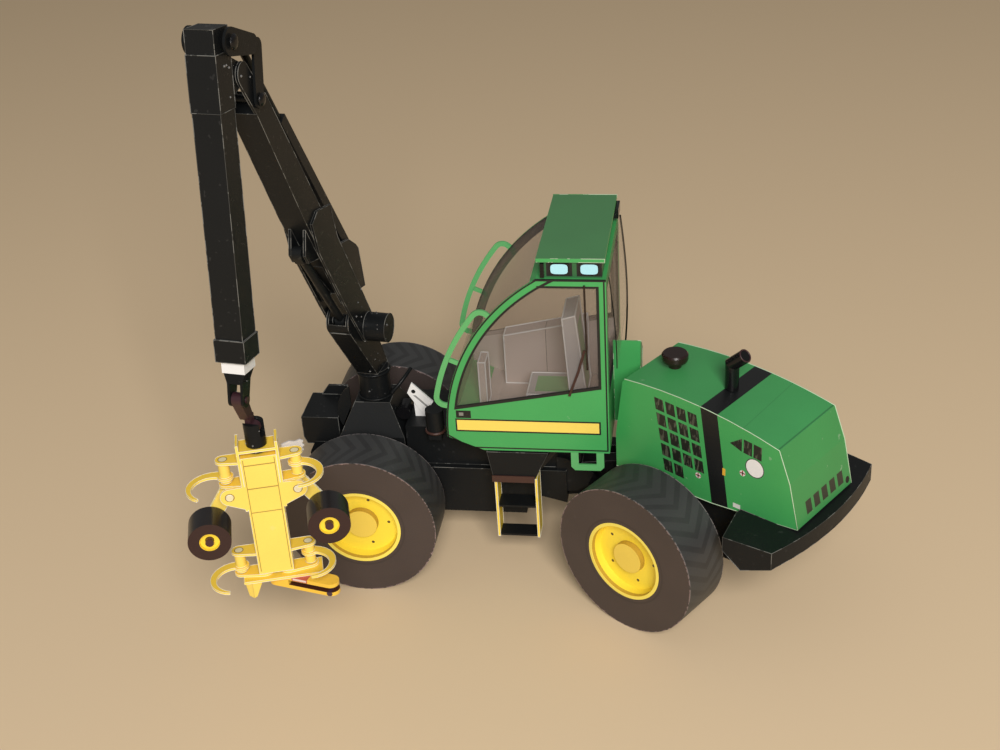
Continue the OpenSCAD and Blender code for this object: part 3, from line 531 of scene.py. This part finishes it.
def head_drawing():
    """Pale yellow plates with fine seams and round pins, and a deeper yellow painted on the faces that look up as
    shade.
    """
    finish = Finish("printed_head_finish")
    k, w, z = finish.local(head)
    to_front, _, up = finish.faces(head)
    plate = (to_front > 0.7) & (k > 1.5)
    seams = (z.near(69.4, 0.3) | z.near(63.0, 0.3) | z.near(56.3, 0.26)) & (abs(w) < 3.7)
    frame_lines = abs(w).near(3.6, 0.2) & z.between(39.2, 71)
    # Painted shade: the faces that look up get a deeper, darker yellow than the rest.
    drawing = finish.mix(up > 0.7, (0.92, 0.70, 0.13), (0.95, 0.64, 0.060))
    drawing = finish.mix(to_front > 0.7, drawing, pale_yellow)
    drawing = finish.mix(plate & (seams | frame_lines), drawing, (0.40, 0.26, 0.05))
    wing_pin = ((abs(w) - 7.9) ** 2 + (z - 61.4) ** 2) ** 0.5 + (to_front < 0.7) * 9
    knife_pin = ((abs(w) - 8.3) ** 2 + (k + 0.5) ** 2) ** 0.5 + (up < 0.7) * 9
    for pin in (wing_pin, knife_pin):
        drawing = finish.mix(pin < 1.12, drawing, (0.30, 0.19, 0.05))
        drawing = finish.mix(pin < 0.92, drawing, (0.80, 0.72, 0.46))
    return printed(finish, drawing, scuff=0.25, gloss=0.4)


def roller_drawing(name):
    finish = Finish(name + "_print")
    _, w, z = finish.local(Place(name + "_spin", head.heading), height(name + "_spin"))
    to_front, _, _ = finish.faces(head)
    radius = (w ** 2 + z ** 2) ** 0.5
    drawing = finish.mix(abs(to_front) > 0.7, (0.014, 0.012, 0.013), (0.030, 0.012, 0.013))
    drawing = finish.mix(radius < 2.36, drawing, sun_yellow)
    return printed(finish, drawing, scuff=0.3, gloss=0.30, paper=(0.16, 0.10, 0.10))


def arm_drawing(name, spin):
    """The arm is head card, and the axle's end in front of the roller is a dark brown."""
    finish = Finish(name + "_print")
    k, w, z = finish.local(Place(spin, head.heading), height(spin))
    axle_end = ((w ** 2 + z ** 2) ** 0.5 < 1.1) & (k > 1.0)
    return printed(finish, finish.mix(axle_end, pale_yellow, (0.060, 0.022, 0.024)), scuff=0.25, gloss=0.4)


def saw_drawing():
    finish = Finish("printed_saw_finish")
    k, w, z = finish.local(head)
    slant = math.radians(59)
    along = (k + 1) * math.cos(slant) + w * math.sin(slant)
    drawing = finish.mix(z.between(34.4, 35.8) & (along > 4.05), (0.93, 0.58, 0.060), (0.075, 0.022, 0.010))
    drawing = finish.mix(((along - 14.9) ** 2 + (z - 34.0) ** 2) ** 0.5 < 0.7, drawing, (0.06, 0.03, 0.05))
    label = along.between(5.0, 9.2) & (z > 35.85)
    border = along.between(5.3, 8.9) & z.between(36.05, 36.62)
    drawing = finish.mix(label, drawing, (0.55, 0.10, 0.07))
    return printed(finish, finish.mix(border, drawing, (0.80, 0.66, 0.60)), scuff=0.25, gloss=0.35)


def seat_drawing():
    finish = Finish("printed_seat_finish")
    x, y, z = finish.local(front)
    insert = (abs(y + 2) < 3.6) & z.between(47, 67)
    cushion = (abs(y + 2) < 4.2) & (z < 47) & x.between(11, 21)
    drawing = finish.mix(insert | cushion, (0.42, 0.40, 0.40), (0.12, 0.36, 0.13))
    return printed(finish, drawing)


def console_drawing():
    """The lining's grey pink, with a row of small dark keys near the top and a thin dark seam."""
    finish = Finish("printed_console_finish")
    x, _, z = finish.local(front)
    keys = ((x + z * 0.3) % 2.4 < 1.1) & z.between(61.2, 64.0) & x.between(14, 24)
    seam = x.near(19.5, 0.16) & (z < 59)
    drawing = finish.mix(keys, inner_card, (0.075, 0.090, 0.050))
    return printed(finish, finish.mix(seam, drawing, (0.06, 0.05, 0.05)))


def lamp_drawing():
    """A pale blue glass with round corners in a black surround, drawn on each lamp."""
    finish = Finish("printed_lamp_finish")
    x, _, z = finish.local(front)
    across = abs(abs(x - 6.85) - 3.75) / 2.25
    glass = across ** 4 + (abs(z - 92.62) / 1.42) ** 4 < 0.85
    return printed(finish, finish.mix(glass, ink_black, (0.42, 0.80, 0.93)), scuff=0.1, gloss=0.25)


def valve_drawing():
    """A white plate with a dark hole and a groove painted as a grey line of shade, on a body of black card."""
    finish = Finish("printed_valve_finish")
    x, y, z = finish.local(front)
    hole = ((x - 54.5) ** 2 + (z - 47.2) ** 2) ** 0.5 < 0.6
    # Painted shade: the groove is a grey line on the white plate.
    groove = ((x - 52.2) * 0.717 - (z - 43.8) * 0.697).near(0, 0.55) & z.between(42.0, 46.0)
    drawing = finish.mix(groove & (y > 4.3), (0.90, 0.90, 0.90), (0.30, 0.30, 0.30))
    drawing = finish.mix(hole & (y > 4.3), drawing, ink_black)
    return printed(finish, finish.mix(y < 4.3, drawing, (0.03, 0.03, 0.03)), scuff=0.0)


clear_film = film_finish()
printed_head = head_drawing()
printed_seat = seat_drawing()
printed_console = console_drawing()
printed_lamps = lamp_drawing()
printed_valve = valve_drawing()
print("materials so far:", len(bpy.data.materials))

# %% Dress every CAD node
dress = {name: black_card for name in nodes}
dress.update(wheel_finish)
dress.update({name: light_green_card for name in ("handrail_left", "handrail_right", "step_loop")})
dress.update({name: clear_film for name in ("side_window_left", "side_window_right", "windscreen",
                                            "rear_window")})
dress.update({name: printed_cab_side for name in ("cab_side_left", "cab_side_right")})
dress.update({"hood": printed_hood, "rear_cab_box": green_card, "cab_shell": printed_shell,
              "cab_roof": printed_roof, "roof_lamps": printed_lamps, "cab_seat": printed_seat,
              "cab_console": printed_console, "valve_block": printed_valve, "boom_extension": white_card,
              "pre_cleaner": dark_brown_card, "exhaust_pipe": glossy_black, "hanging_link": purple_card,
              "step_sides": yellow_card, "saw_box": saw_drawing()})
for name in nodes:
    if name.startswith(("head_", "upper_knife", "lower_knife")):
        dress[name] = printed_head
    if name.startswith("feed_roller"):
        dress[name] = roller_drawing(name)
    if name.startswith("roller_arm"):
        dress[name] = arm_drawing(name, name.replace("roller_arm", "feed_roller") + "_spin")
for name in ("main_boom", "crane_post", "rocker_link", "fold_link", "extension_fork", "rotator"):
    dress[name] = rough_black_card
for name, node in nodes.items():
    node.data.materials.clear()
    node.data.materials.append(dress[name])
print("dressed", len(dress), "nodes")

# %% [markdown]
# ## Pale cut edges
# Card is white inside, so every cut edge and many folds show as a thin pale line. The sharp edges of a
# CAD solid are found in a merged copy of its mesh, and a small node tree turns each one into a thin line
# that stands about a tenth of a millimetre proud. The material breaks the line up, because the ink wears off in
# places only.

# %% A node tree that draws lines along edges
def socket_on(tree, name, kind, direction="INPUT"):
    """Adds a named input or output to a node tree."""
    tree.interface.new_socket(name, in_out=direction, socket_type=kind)


def line_tree(name):
    """A tree that makes a thin round line along every edge of a mesh."""
    tree = bpy.data.node_groups.new(name, "GeometryNodeTree")
    socket_on(tree, "Edges", "NodeSocketGeometry")
    socket_on(tree, "Radius", "NodeSocketFloat")
    socket_on(tree, "Sides", "NodeSocketInt")
    socket_on(tree, "Finish", "NodeSocketMaterial")
    socket_on(tree, "Lines", "NodeSocketGeometry", "OUTPUT")
    make, join = tree.nodes.new, tree.links.new
    given, result = make("NodeGroupInput"), make("NodeGroupOutput")
    curve, profile = make("GeometryNodeMeshToCurve"), make("GeometryNodeCurvePrimitiveCircle")
    tube, paint = make("GeometryNodeCurveToMesh"), make("GeometryNodeSetMaterial")
    real = make("GeometryNodeRealizeInstances")
    tube.inputs["Fill Caps"].default_value = True
    join(given.outputs["Edges"], curve.inputs["Mesh"])
    join(given.outputs["Radius"], profile.inputs["Radius"])
    join(given.outputs["Sides"], profile.inputs["Resolution"])
    join(curve.outputs["Curve"], tube.inputs["Curve"])
    join(profile.outputs["Curve"], tube.inputs["Profile Curve"])
    join(tube.outputs["Mesh"], real.inputs[0])
    join(real.outputs[0], paint.inputs["Geometry"])
    join(given.outputs["Finish"], paint.inputs["Material"])
    join(paint.outputs["Geometry"], result.inputs["Lines"])
    return tree


def run_tree(name, mesh, tree, body, slot, **values):
    """Runs a tree on a mesh, keeps the result as a plain mesh, and lets it ride on a body."""
    piece = bpy.data.objects.new(name, mesh)
    bpy.context.scene.collection.objects.link(piece)
    modifier = piece.modifiers.new("make", "NODES")
    modifier.node_group = tree
    for item in tree.interface.items_tree:
        if item.in_out == "INPUT" and item.name in values:
            modifier[item.identifier] = values[item.name]
    ready = piece.evaluated_get(bpy.context.evaluated_depsgraph_get())
    made = bpy.data.meshes.new_from_object(ready)
    piece.modifiers.clear()
    piece.data = made
    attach(piece, body)
    return piece


lines_along = line_tree("lines_along_edges")
print("nodes in the line tree:", len(lines_along.nodes))

# %% Sharp edges of a CAD node
def body_of_node(name):
    """The body that a node rides on."""
    return next(body for body, held in frame["record"]["behaviour"]["bodies"].items() if name in held)


def sharp_edges(name, least=28, keep=None):
    """A mesh of a node's sharp edges, from a merged copy; keep tests each edge's middle."""
    work = bmesh.new()
    work.from_mesh(nodes[name].data)
    bmesh.ops.remove_doubles(work, verts=work.verts, dist=2e-6)
    bmesh.ops.dissolve_limit(work, angle_limit=math.radians(1.5), verts=work.verts, edges=work.edges)
    ends = []
    for edge in work.edges:
        sharp = len(edge.link_faces) == 2 and edge.calc_face_angle(0) > math.radians(least)
        if sharp and (keep is None or keep((edge.verts[0].co + edge.verts[1].co) / 2)):
            ends.append([tuple(vert.co) for vert in edge.verts])
    work.free()
    points, index, pairs = [], {}, []
    for pair in ends:
        keys = [tuple(round(c, 7) for c in point) for point in pair]
        for key in keys:
            if key not in index:
                index[key] = len(points)
                points.append(key)
        pairs.append((index[keys[0]], index[keys[1]]))
    mesh = bpy.data.meshes.new(name + "_edges")
    mesh.from_pydata(points, pairs, [])
    return mesh


def cut_edges(name, finish, radius=0.12, **choice):
    """Puts pale lines on a node's sharp edges and returns their number of faces."""
    slot = next(part["material_slot"] for part in frame["record"]["subparts"] if part["node"] == name)
    lines = run_tree(name + "_cut_edges", sharp_edges(name, **choice), lines_along, body_of_node(name), slot,
                     Radius=radius / 1000, Sides=4, Finish=finish)
    return len(lines.data.polygons)


def worn_edge(name, ink, pale, share):
    """A line that is pale over a share of its length and inked over the rest."""
    finish = Finish(name)
    worn = (finish.noise(260, 4) < 0.30 + 0.42 * share) | (finish.noise(1500, 2) > 0.78)
    return finish.done(finish.mix(worn, ink, pale), 0.55)


green_edge = worn_edge("green_cut_edge_finish", (0.10, 0.32, 0.12), (0.50, 0.62, 0.44), 0.5)
hood_edge = worn_edge("hood_cut_edge_finish", (0.16, 0.42, 0.18), (0.50, 0.66, 0.46), 0.95)
black_edge = worn_edge("grey_cut_edge_finish", (0.045, 0.045, 0.042), (0.16, 0.16, 0.15), 0.45)
yellow_edge = worn_edge("pale_yellow_cut_edge_finish", (0.85, 0.75, 0.35), (0.86, 0.84, 0.74), 0.75)
lining_edge = worn_edge("pale_grey_cut_edge_finish", (0.62, 0.60, 0.60), (0.80, 0.79, 0.79), 0.9)
deck_low, deck_high, arm_reach = 0.026, 0.0275, 0.0090
line_count = 0


def local_of(place, point):
    """A point in the place's own millimetres."""
    turned = Matrix.Rotation(-place.heading, 3, "Z") @ (point - place.origin)
    return turned * 1000


def hood_keeps(point):
    """The pale edges of the hood: the sides' top and rear edges, not the front or the rear's top."""
    u, v, z = local_of(rear, point)
    return u < -14 and not (u < -58 and abs(v) < 11)


def roof_keeps(point):
    """The long upper edges of the roof, over the lamps."""
    _, y, z = local_of(front, point)
    return z > 94.4 and abs(y) > 18


line_count += cut_edges("hood", hood_edge, 0.14, keep=hood_keeps)
line_count += cut_edges("rear_cab_box", green_edge, 0.11)
line_count += cut_edges("cab_roof", green_edge, 0.12, keep=roof_keeps)
line_count += cut_edges("front_frame", black_edge, 0.10, keep=lambda p: deck_low < p.z < deck_high)
for name in ("outer_boom", "main_boom", "crane_post", "rear_ballast", "front_box", "crane_pedestal",
             "step_box"):
    line_count += cut_edges(name, black_edge, 0.09)
for name in ("head_frame", "upper_knife_left", "upper_knife_right", "lower_knife_left",
             "lower_knife_right"):
    line_count += cut_edges(name, yellow_edge, 0.06, least=40)
for side in ("left", "right"):
    near_pin = Vector(joints[f"roller_arm_{side}_swing"]["pos_m"])
    line_count += cut_edges(f"roller_arm_{side}", yellow_edge, 0.09, least=40,
                            keep=lambda p: (p - near_pin).length < arm_reach)
line_count += cut_edges("step_sides", yellow_edge, 0.09, least=40)
for name in ("cab_seat", "cab_console"):
    line_count += cut_edges(name, lining_edge, 0.22, least=40)
print("edge lines:", line_count, "faces")

# %% [markdown]
# ## Small pieces
# A few loose bits of card and wire are glued on and carry nothing. Each one is skinned over rings of
# points in local millimetres, and rides on the body that it is glued to.

# %% Solids and wires from points
def add_solid(name, rings, body, slot, finish):
    """A closed solid skinned over rings of points, with a face at each end."""
    work = bmesh.new()
    loops = [[work.verts.new(point) for point in ring] for ring in rings]
    for one, two in zip(loops, loops[1:]):
        for i in range(len(one)):
            j = (i + 1) % len(one)
            work.faces.new((one[i], one[j], two[j], two[i]))
    work.faces.new(loops[0][::-1])
    work.faces.new(loops[-1])
    bmesh.ops.recalc_face_normals(work, faces=work.faces)
    mesh = bpy.data.meshes.new(name)
    work.to_mesh(mesh)
    work.free()
    mesh.materials.append(finish)
    piece = bpy.data.objects.new(name, mesh)
    bpy.context.scene.collection.objects.link(piece)
    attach(piece, body)
    return piece


def side_plate(name, place, outline, low, high, body, slot, finish):
    """A plate with an outline in length and height, from one distance to the left to another."""
    return add_solid(name, [[place.at(x, y, z) for x, z in outline] for y in (low, high)], body, slot, finish)


def facing_plate(name, place, outline, low, high, body, slot, finish):
    """A plate with an outline in width and height, from one distance ahead to another."""
    return add_solid(name, [[place.at(x, y, z) for y, z in outline] for x in (low, high)], body, slot, finish)


def wire(name, points, radius, body, slot, finish, closed=False):
    """A round wire through points."""
    mesh = bpy.data.meshes.new(name + "_path")
    last = len(points) if closed else len(points) - 1
    mesh.from_pydata([tuple(p) for p in points], [(i, (i + 1) % len(points)) for i in range(last)], [])
    return run_tree(name, mesh, lines_along, body, slot, Radius=radius / 1000, Sides=8, Finish=finish)


def turns(count):
    """Angles once round a circle."""
    return [math.tau * i / count for i in range(count)]


def level_circle(place, x, y, z, radius, count):
    """Points round a level circle."""
    return [place.at(x + radius * math.cos(a), y + radius * math.sin(a), z) for a in turns(count)]


# %% Pieces on the front frame
matt_front = ("front_frame", "black_card", black_card)
glossy_front = ("front_frame", "black_card", glossy_black)
side_plate("curved_guard", front, [(72.2, 43.2), (72.2, 49.3), (73.6, 48.2), (75.0, 46.2), (75.9, 43.8),
                                   (76.3, 41.1), (75.9, 38.4), (75.2, 36.6)], 6.2, 6.8, *matt_front)
barrel = [[front.at(57.6 + 2.0 * math.cos(a), y, 40.9 + 2.0 * math.sin(a)) for a in turns(20)]
          for y in (1.4, 6.4)]
add_solid("valve_barrel", barrel, *glossy_front)
hose_path = ((61.7, 1.0, 44.2), (60.9, 0.6, 45.2), (59.8, 0.0, 46.2), (58.7, -1.0, 47.4), (57.6, -2.6, 48.6),
             (56.9, -4.4, 49.2))
wire("hose", [front.at(*p) for p in hose_path], 0.55, "front_frame", "black_card", rough_black_card)
wire("pedestal_collar", level_circle(front, 66.5, 0, 43.9, 4.75, 40), 0.3, *matt_front, closed=True)
wire("tank_rim", level_circle(front, 47.5, 12, 39.5, 2.55, 24), 0.4, "front_frame", "brown_card", brown_card,
     closed=True)
side_plate("step_lip", front, [(19.4, 29.2), (31.0, 29.2), (31.0, 31.2), (19.4, 31.2)], 21.15, 21.5,
           "front_frame", "brown_card", brown_card)
side_plate("hinge_gusset", front, [(14.6, 31.2), (11.8, 30.6), (4.6, 25.9), (6.4, 22.0), (9.2, 20.2),
                                   (12.9, 19.9), (14.6, 21.4)], 10.7, 11.3, *matt_front)
side_plate("step_brace", front, [(19.3, 30.4), (18.2, 30.4), (11.6, 38.9), (13.6, 38.9)], 16.0, 16.6,
           *glossy_front)

# %% Wires and the bowed pane on the cab
wire("window_rod", [front.at(4.4, 21.1, 88.7), front.at(4.3, 21.15, 76.0), front.at(4.2, 21.1, 64.6)],
     0.26, "front_frame", "brown_card", dark_brown_card)
wire("window_lever", [front.at(4.8, 21.3, 70.3), front.at(6.6, 21.5, 64.0), front.at(9.1, 21.4, 56.9)],
     0.36, "front_frame", "brown_card", brown_card)


def bow(z):
    """How far the clear pane behind the cab stands ahead of the steering pin."""
    return -1.35 - 2.0 * math.sin(math.pi * (z - 38) / 56)


upper = [(bow(z), z) for z in [64.4 + 2.1 * i for i in range(13)]]
side_plate("bowed_pane", front, upper + [(x + 0.3, z) for x, z in reversed(upper)], -18.6, 18.6,
           "front_frame", "clear_sheet", clear_film)
for side, low, radius in ((-1, 40, 0.26), (1, 64, 0.14)):
    wire(f"pane_edge_{'right' if side < 0 else 'left'}",
         [front.at(bow(z) + 0.15, side * 18.9, z) for z in [low + (90 - low) * i / 16 for i in range(17)]],
         radius, *glossy_front)
for name, y in (("lamp_stop_left", 19.9), ("lamp_stop_right", -19.9)):
    side_plate(name, front, [(14.4, 90.4), (15.4, 90.4), (15.4, 94.2), (14.4, 94.2)], y - 0.5, y + 0.5,
               *glossy_front)
facing_plate("rear_roof_lamp", front, [(-19.0, 91.6), (-13.0, 91.6), (-13.0, 94.2), (-19.0, 94.2)], -1.7, -0.3,
             *glossy_front)

# %% Handrails whose ends bend over smoothly
rail_root, rail_middle, rail_tab_angle = 53.85, 56.95, 23.4


def rail_outline():
    """A band of card: out from the cab, round a bend, along the arc, and back in the same way."""
    bend, mid, half = 2.4, rail_middle, 0.72
    turn = math.degrees(bend / mid)
    steps = [90 * i / 6 for i in range(7)]
    top = [(mid - bend + bend * math.sin(math.radians(t)), 41 - turn * (1 - math.cos(math.radians(t))))
           for t in steps]
    low = [(r, 50 - a) for r, a in reversed(top)]
    arc = [(mid, 41 - turn - (32 - 2 * turn) * i / 24) for i in range(1, 24)]
    path = [Vector((arc_x + r * math.cos(math.radians(a)), arc_z + r * math.sin(math.radians(a))))
            for r, a in [(rail_root, 41)] + top + arc + low + [(rail_root, 9)]]
    one, two = [], []
    for i, point in enumerate(path):
        way = (path[min(i + 1, len(path) - 1)] - path[max(i - 1, 0)]).normalized()
        out = Vector((-way.y, way.x)) * half
        one.append(tuple(point + out))
        two.append(tuple(point - out))
    return one + two[::-1]


for side, low, high in (("left", 20.2, 20.8), ("right", -20.8, -20.2)):
    rail = side_plate(f"rounded_handrail_{side}", front, rail_outline(), low, high, "front_frame",
                      "light_green_card", light_green_card)
    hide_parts(f"handrail_{side}")
    c, s = math.cos(math.radians(rail_tab_angle)), math.sin(math.radians(rail_tab_angle))
    tab = [(arc_x + r * c - q * s, arc_z + r * s + q * c) for r, q in
           ((rail_root, -0.6), (56.3, -0.6), (56.3, 0.6), (rail_root, 0.6))]
    side_plate(f"handrail_tab_{side}", front, tab, low, high, "front_frame", "light_green_card",
               light_green_card)
print("points round each rail:", len(rail_outline()))

# %% Pieces on the rear frame, the crane and the head
mouth, mouth_radius = rear.at(-42.6, 0.4, 71.0), 1.62
mouth_axis, sideways = rear.at(-0.731, 0, 0.682) - rear.at(0, 0, 0), rear.at(0, 1, 0) - rear.at(0, 0, 0)
across_mouth = mouth_axis.cross(sideways).normalized() / 1000
lip = [mouth + sideways * (mouth_radius * math.cos(a)) + across_mouth * (mouth_radius * math.sin(a))
       for a in turns(24)]
wire("exhaust_lip", lip, 0.2, "rear_frame", "black_card", purple_card, closed=True)
wire("post_lip", level_circle(crane, 0, 0, 51.4, 4.6, 40), 0.42, "crane_post", "black_card", rough_black_card,
     closed=True)
# The torn tab's grey is painted shade on white card.
facing_plate("torn_tab", head, [(5.4, 70.6), (7.2, 71.2), (8.6, 70.9), (9.8, 71.3), (10.6, 70.8), (10.2, 70.2),
                                (10.7, 69.6), (10.1, 69.1), (10.5, 68.4), (9.7, 67.8), (7.4, 67.9),
                                (5.4, 68.2)], -3.3, -2.9, "head", "white_card", shaded_white_card)


def dome(name, joint, side, radius, rise, body):
    """A low glossy cap of glue over the end of a pin."""
    axis = Vector(joints[joint]["axis"]).normalized()
    middle = Vector(joints[joint]["pos_m"]) + axis * (side / 1000)
    one = axis.orthogonal().normalized()
    two = axis.cross(one)
    way = 1 if side > 0 else -1
    rings = []
    for tilt in [math.radians(18 * i) for i in range(5)]:
        size, up = radius * math.cos(tilt) / 1000, way * rise * math.sin(tilt) / 1000
        rings.append([middle + axis * up + (one * math.cos(a) + two * math.sin(a)) * size for a in turns(20)])
    add_solid(name, rings, body, "black_card", glossy_black)


for side, word in ((1, "left"), (-1, "right")):
    dome(f"rocker_cap_{word}", "rocker_swing", side * 4.55, 1.5, 0.55, "rocker_link")
    dome(f"fold_link_cap_{word}", "fold_link_swing", side * 5.45, 1.7, 0.6, "fold_link")
feet = {"left": ((2.2, -7.9, 36.7), (3.4, -6.2, 36.7), (3.2, -6.2, 32.4), (2.4, -7.3, 32.7)),
        "right": ((3.4, -6.15, 36.7), (2.3, -3.6, 36.7), (2.8, -5.5, 32.5), (3.2, -6.15, 32.4))}
for word, foot in feet.items():
    add_solid(f"foot_fold_{word}", [[head.at(k + d, w, z) for k, w, z in foot] for d in (0, 0.35)],
              "head", "yellow_card", printed_head)

# %% [markdown]
# ## Beads of glue
# Where the crane's cards are pinned and glued, small clear beads of glue have dried. A node tree scatters
# points over a node's faces, keeps those near a joint, and sets a small bead of random size on each.

# %% A node tree that scatters beads
def bead_tree(name):
    """A tree that scatters beads on faces, within reach of a point."""
    tree = bpy.data.node_groups.new(name, "GeometryNodeTree")
    for title, kind in (("Faces", "NodeSocketGeometry"), ("Centre", "NodeSocketVector"),
                        ("Reach", "NodeSocketFloat"), ("Density", "NodeSocketFloat"),
                        ("Size", "NodeSocketFloat"), ("Seed", "NodeSocketInt"),
                        ("Finish", "NodeSocketMaterial")):
        socket_on(tree, title, kind)
    socket_on(tree, "Beads", "NodeSocketGeometry", "OUTPUT")
    make, join = tree.nodes.new, tree.links.new
    given, result = make("NodeGroupInput"), make("NodeGroupOutput")
    scatter, cut = make("GeometryNodeDistributePointsOnFaces"), make("GeometryNodeDeleteGeometry")
    where, gap = make("GeometryNodeInputPosition"), make("ShaderNodeVectorMath")
    far_off = make("FunctionNodeCompare")
    gap.operation = "DISTANCE"
    bead, vary = make("GeometryNodeMeshIcoSphere"), make("FunctionNodeRandomValue")
    size = make("ShaderNodeMath")
    bead.inputs["Radius"].default_value = 1.0
    bead.inputs["Subdivisions"].default_value = 2
    vary.inputs[2].default_value, vary.inputs[3].default_value = 0.25, 1.0
    size.operation = "MULTIPLY"
    spread, real = make("GeometryNodeInstanceOnPoints"), make("GeometryNodeRealizeInstances")
    paint = make("GeometryNodeSetMaterial")
    join(given.outputs["Faces"], scatter.inputs["Mesh"])
    join(given.outputs["Density"], scatter.inputs["Density"])
    join(given.outputs["Seed"], scatter.inputs["Seed"])
    join(where.outputs[0], gap.inputs[0])
    join(given.outputs["Centre"], gap.inputs[1])
    join(gap.outputs["Value"], far_off.inputs[0])
    join(given.outputs["Reach"], far_off.inputs[1])
    join(scatter.outputs["Points"], cut.inputs["Geometry"])
    join(far_off.outputs[0], cut.inputs["Selection"])
    join(vary.outputs[1], size.inputs[0])
    join(given.outputs["Size"], size.inputs[1])
    join(cut.outputs[0], spread.inputs["Points"])
    join(bead.outputs["Mesh"], spread.inputs["Instance"])
    join(size.outputs[0], spread.inputs["Scale"])
    join(spread.outputs[0], real.inputs[0])
    join(real.outputs[0], paint.inputs["Geometry"])
    join(given.outputs["Finish"], paint.inputs["Material"])
    join(paint.outputs["Geometry"], result.inputs["Beads"])
    return tree


# %% Beads at the crane's joints
beads_near = bead_tree("beads_near_a_point")
bead_places = (("main_boom", joints["outer_boom_fold"]["pos_m"], 9, 0.34, 3),
               ("outer_boom", joints["outer_boom_fold"]["pos_m"], 12, 0.30, 5),
               ("main_boom", joints["boom_lift"]["pos_m"], 13, 0.30, 9),
               ("crane_post", crane.at(0, 0, 52.5), 9, 0.34, 11),
               ("extension_fork", joints["link_swing"]["pos_m"], 12, 0.30, 13),
               ("rotator", joints["head_turn"]["pos_m"], 9, 0.34, 15))
beads_per_square_metre = 60000.0
bead_faces = 0
for name, centre, reach_mm, size, seed in bead_places:
    piece = run_tree(f"{name}_glue_{seed}", nodes[name].data.copy(), beads_near, body_of_node(name),
                     "clear_sheet", Centre=tuple(centre), Reach=reach_mm / 1000,
                     Density=beads_per_square_metre, Size=size / 1000, Seed=seed, Finish=glue)
    bead_faces += len(piece.data.polygons)
print("glue beads:", bead_faces, "faces")

# %% [markdown]
# ## The floor
# A plain pale sheet under the model.

# %% Floor
floor_mesh = bpy.data.meshes.new("floor")
far = 3.0
floor_mesh.from_pydata([(-far, -far, 0), (far, -far, 0), (far, far, 0), (-far, far, 0)], [], [(0, 1, 2, 3)])
floor = bpy.data.objects.new("floor", floor_mesh)
bpy.context.scene.collection.objects.link(floor)
floor_finish = Finish("pale_floor_finish")
floor_mesh.materials.append(floor_finish.done((0.80, 0.62, 0.41), 1.0, Specular_IOR_Level=0.0))
print("floor", 2 * far, "m wide")
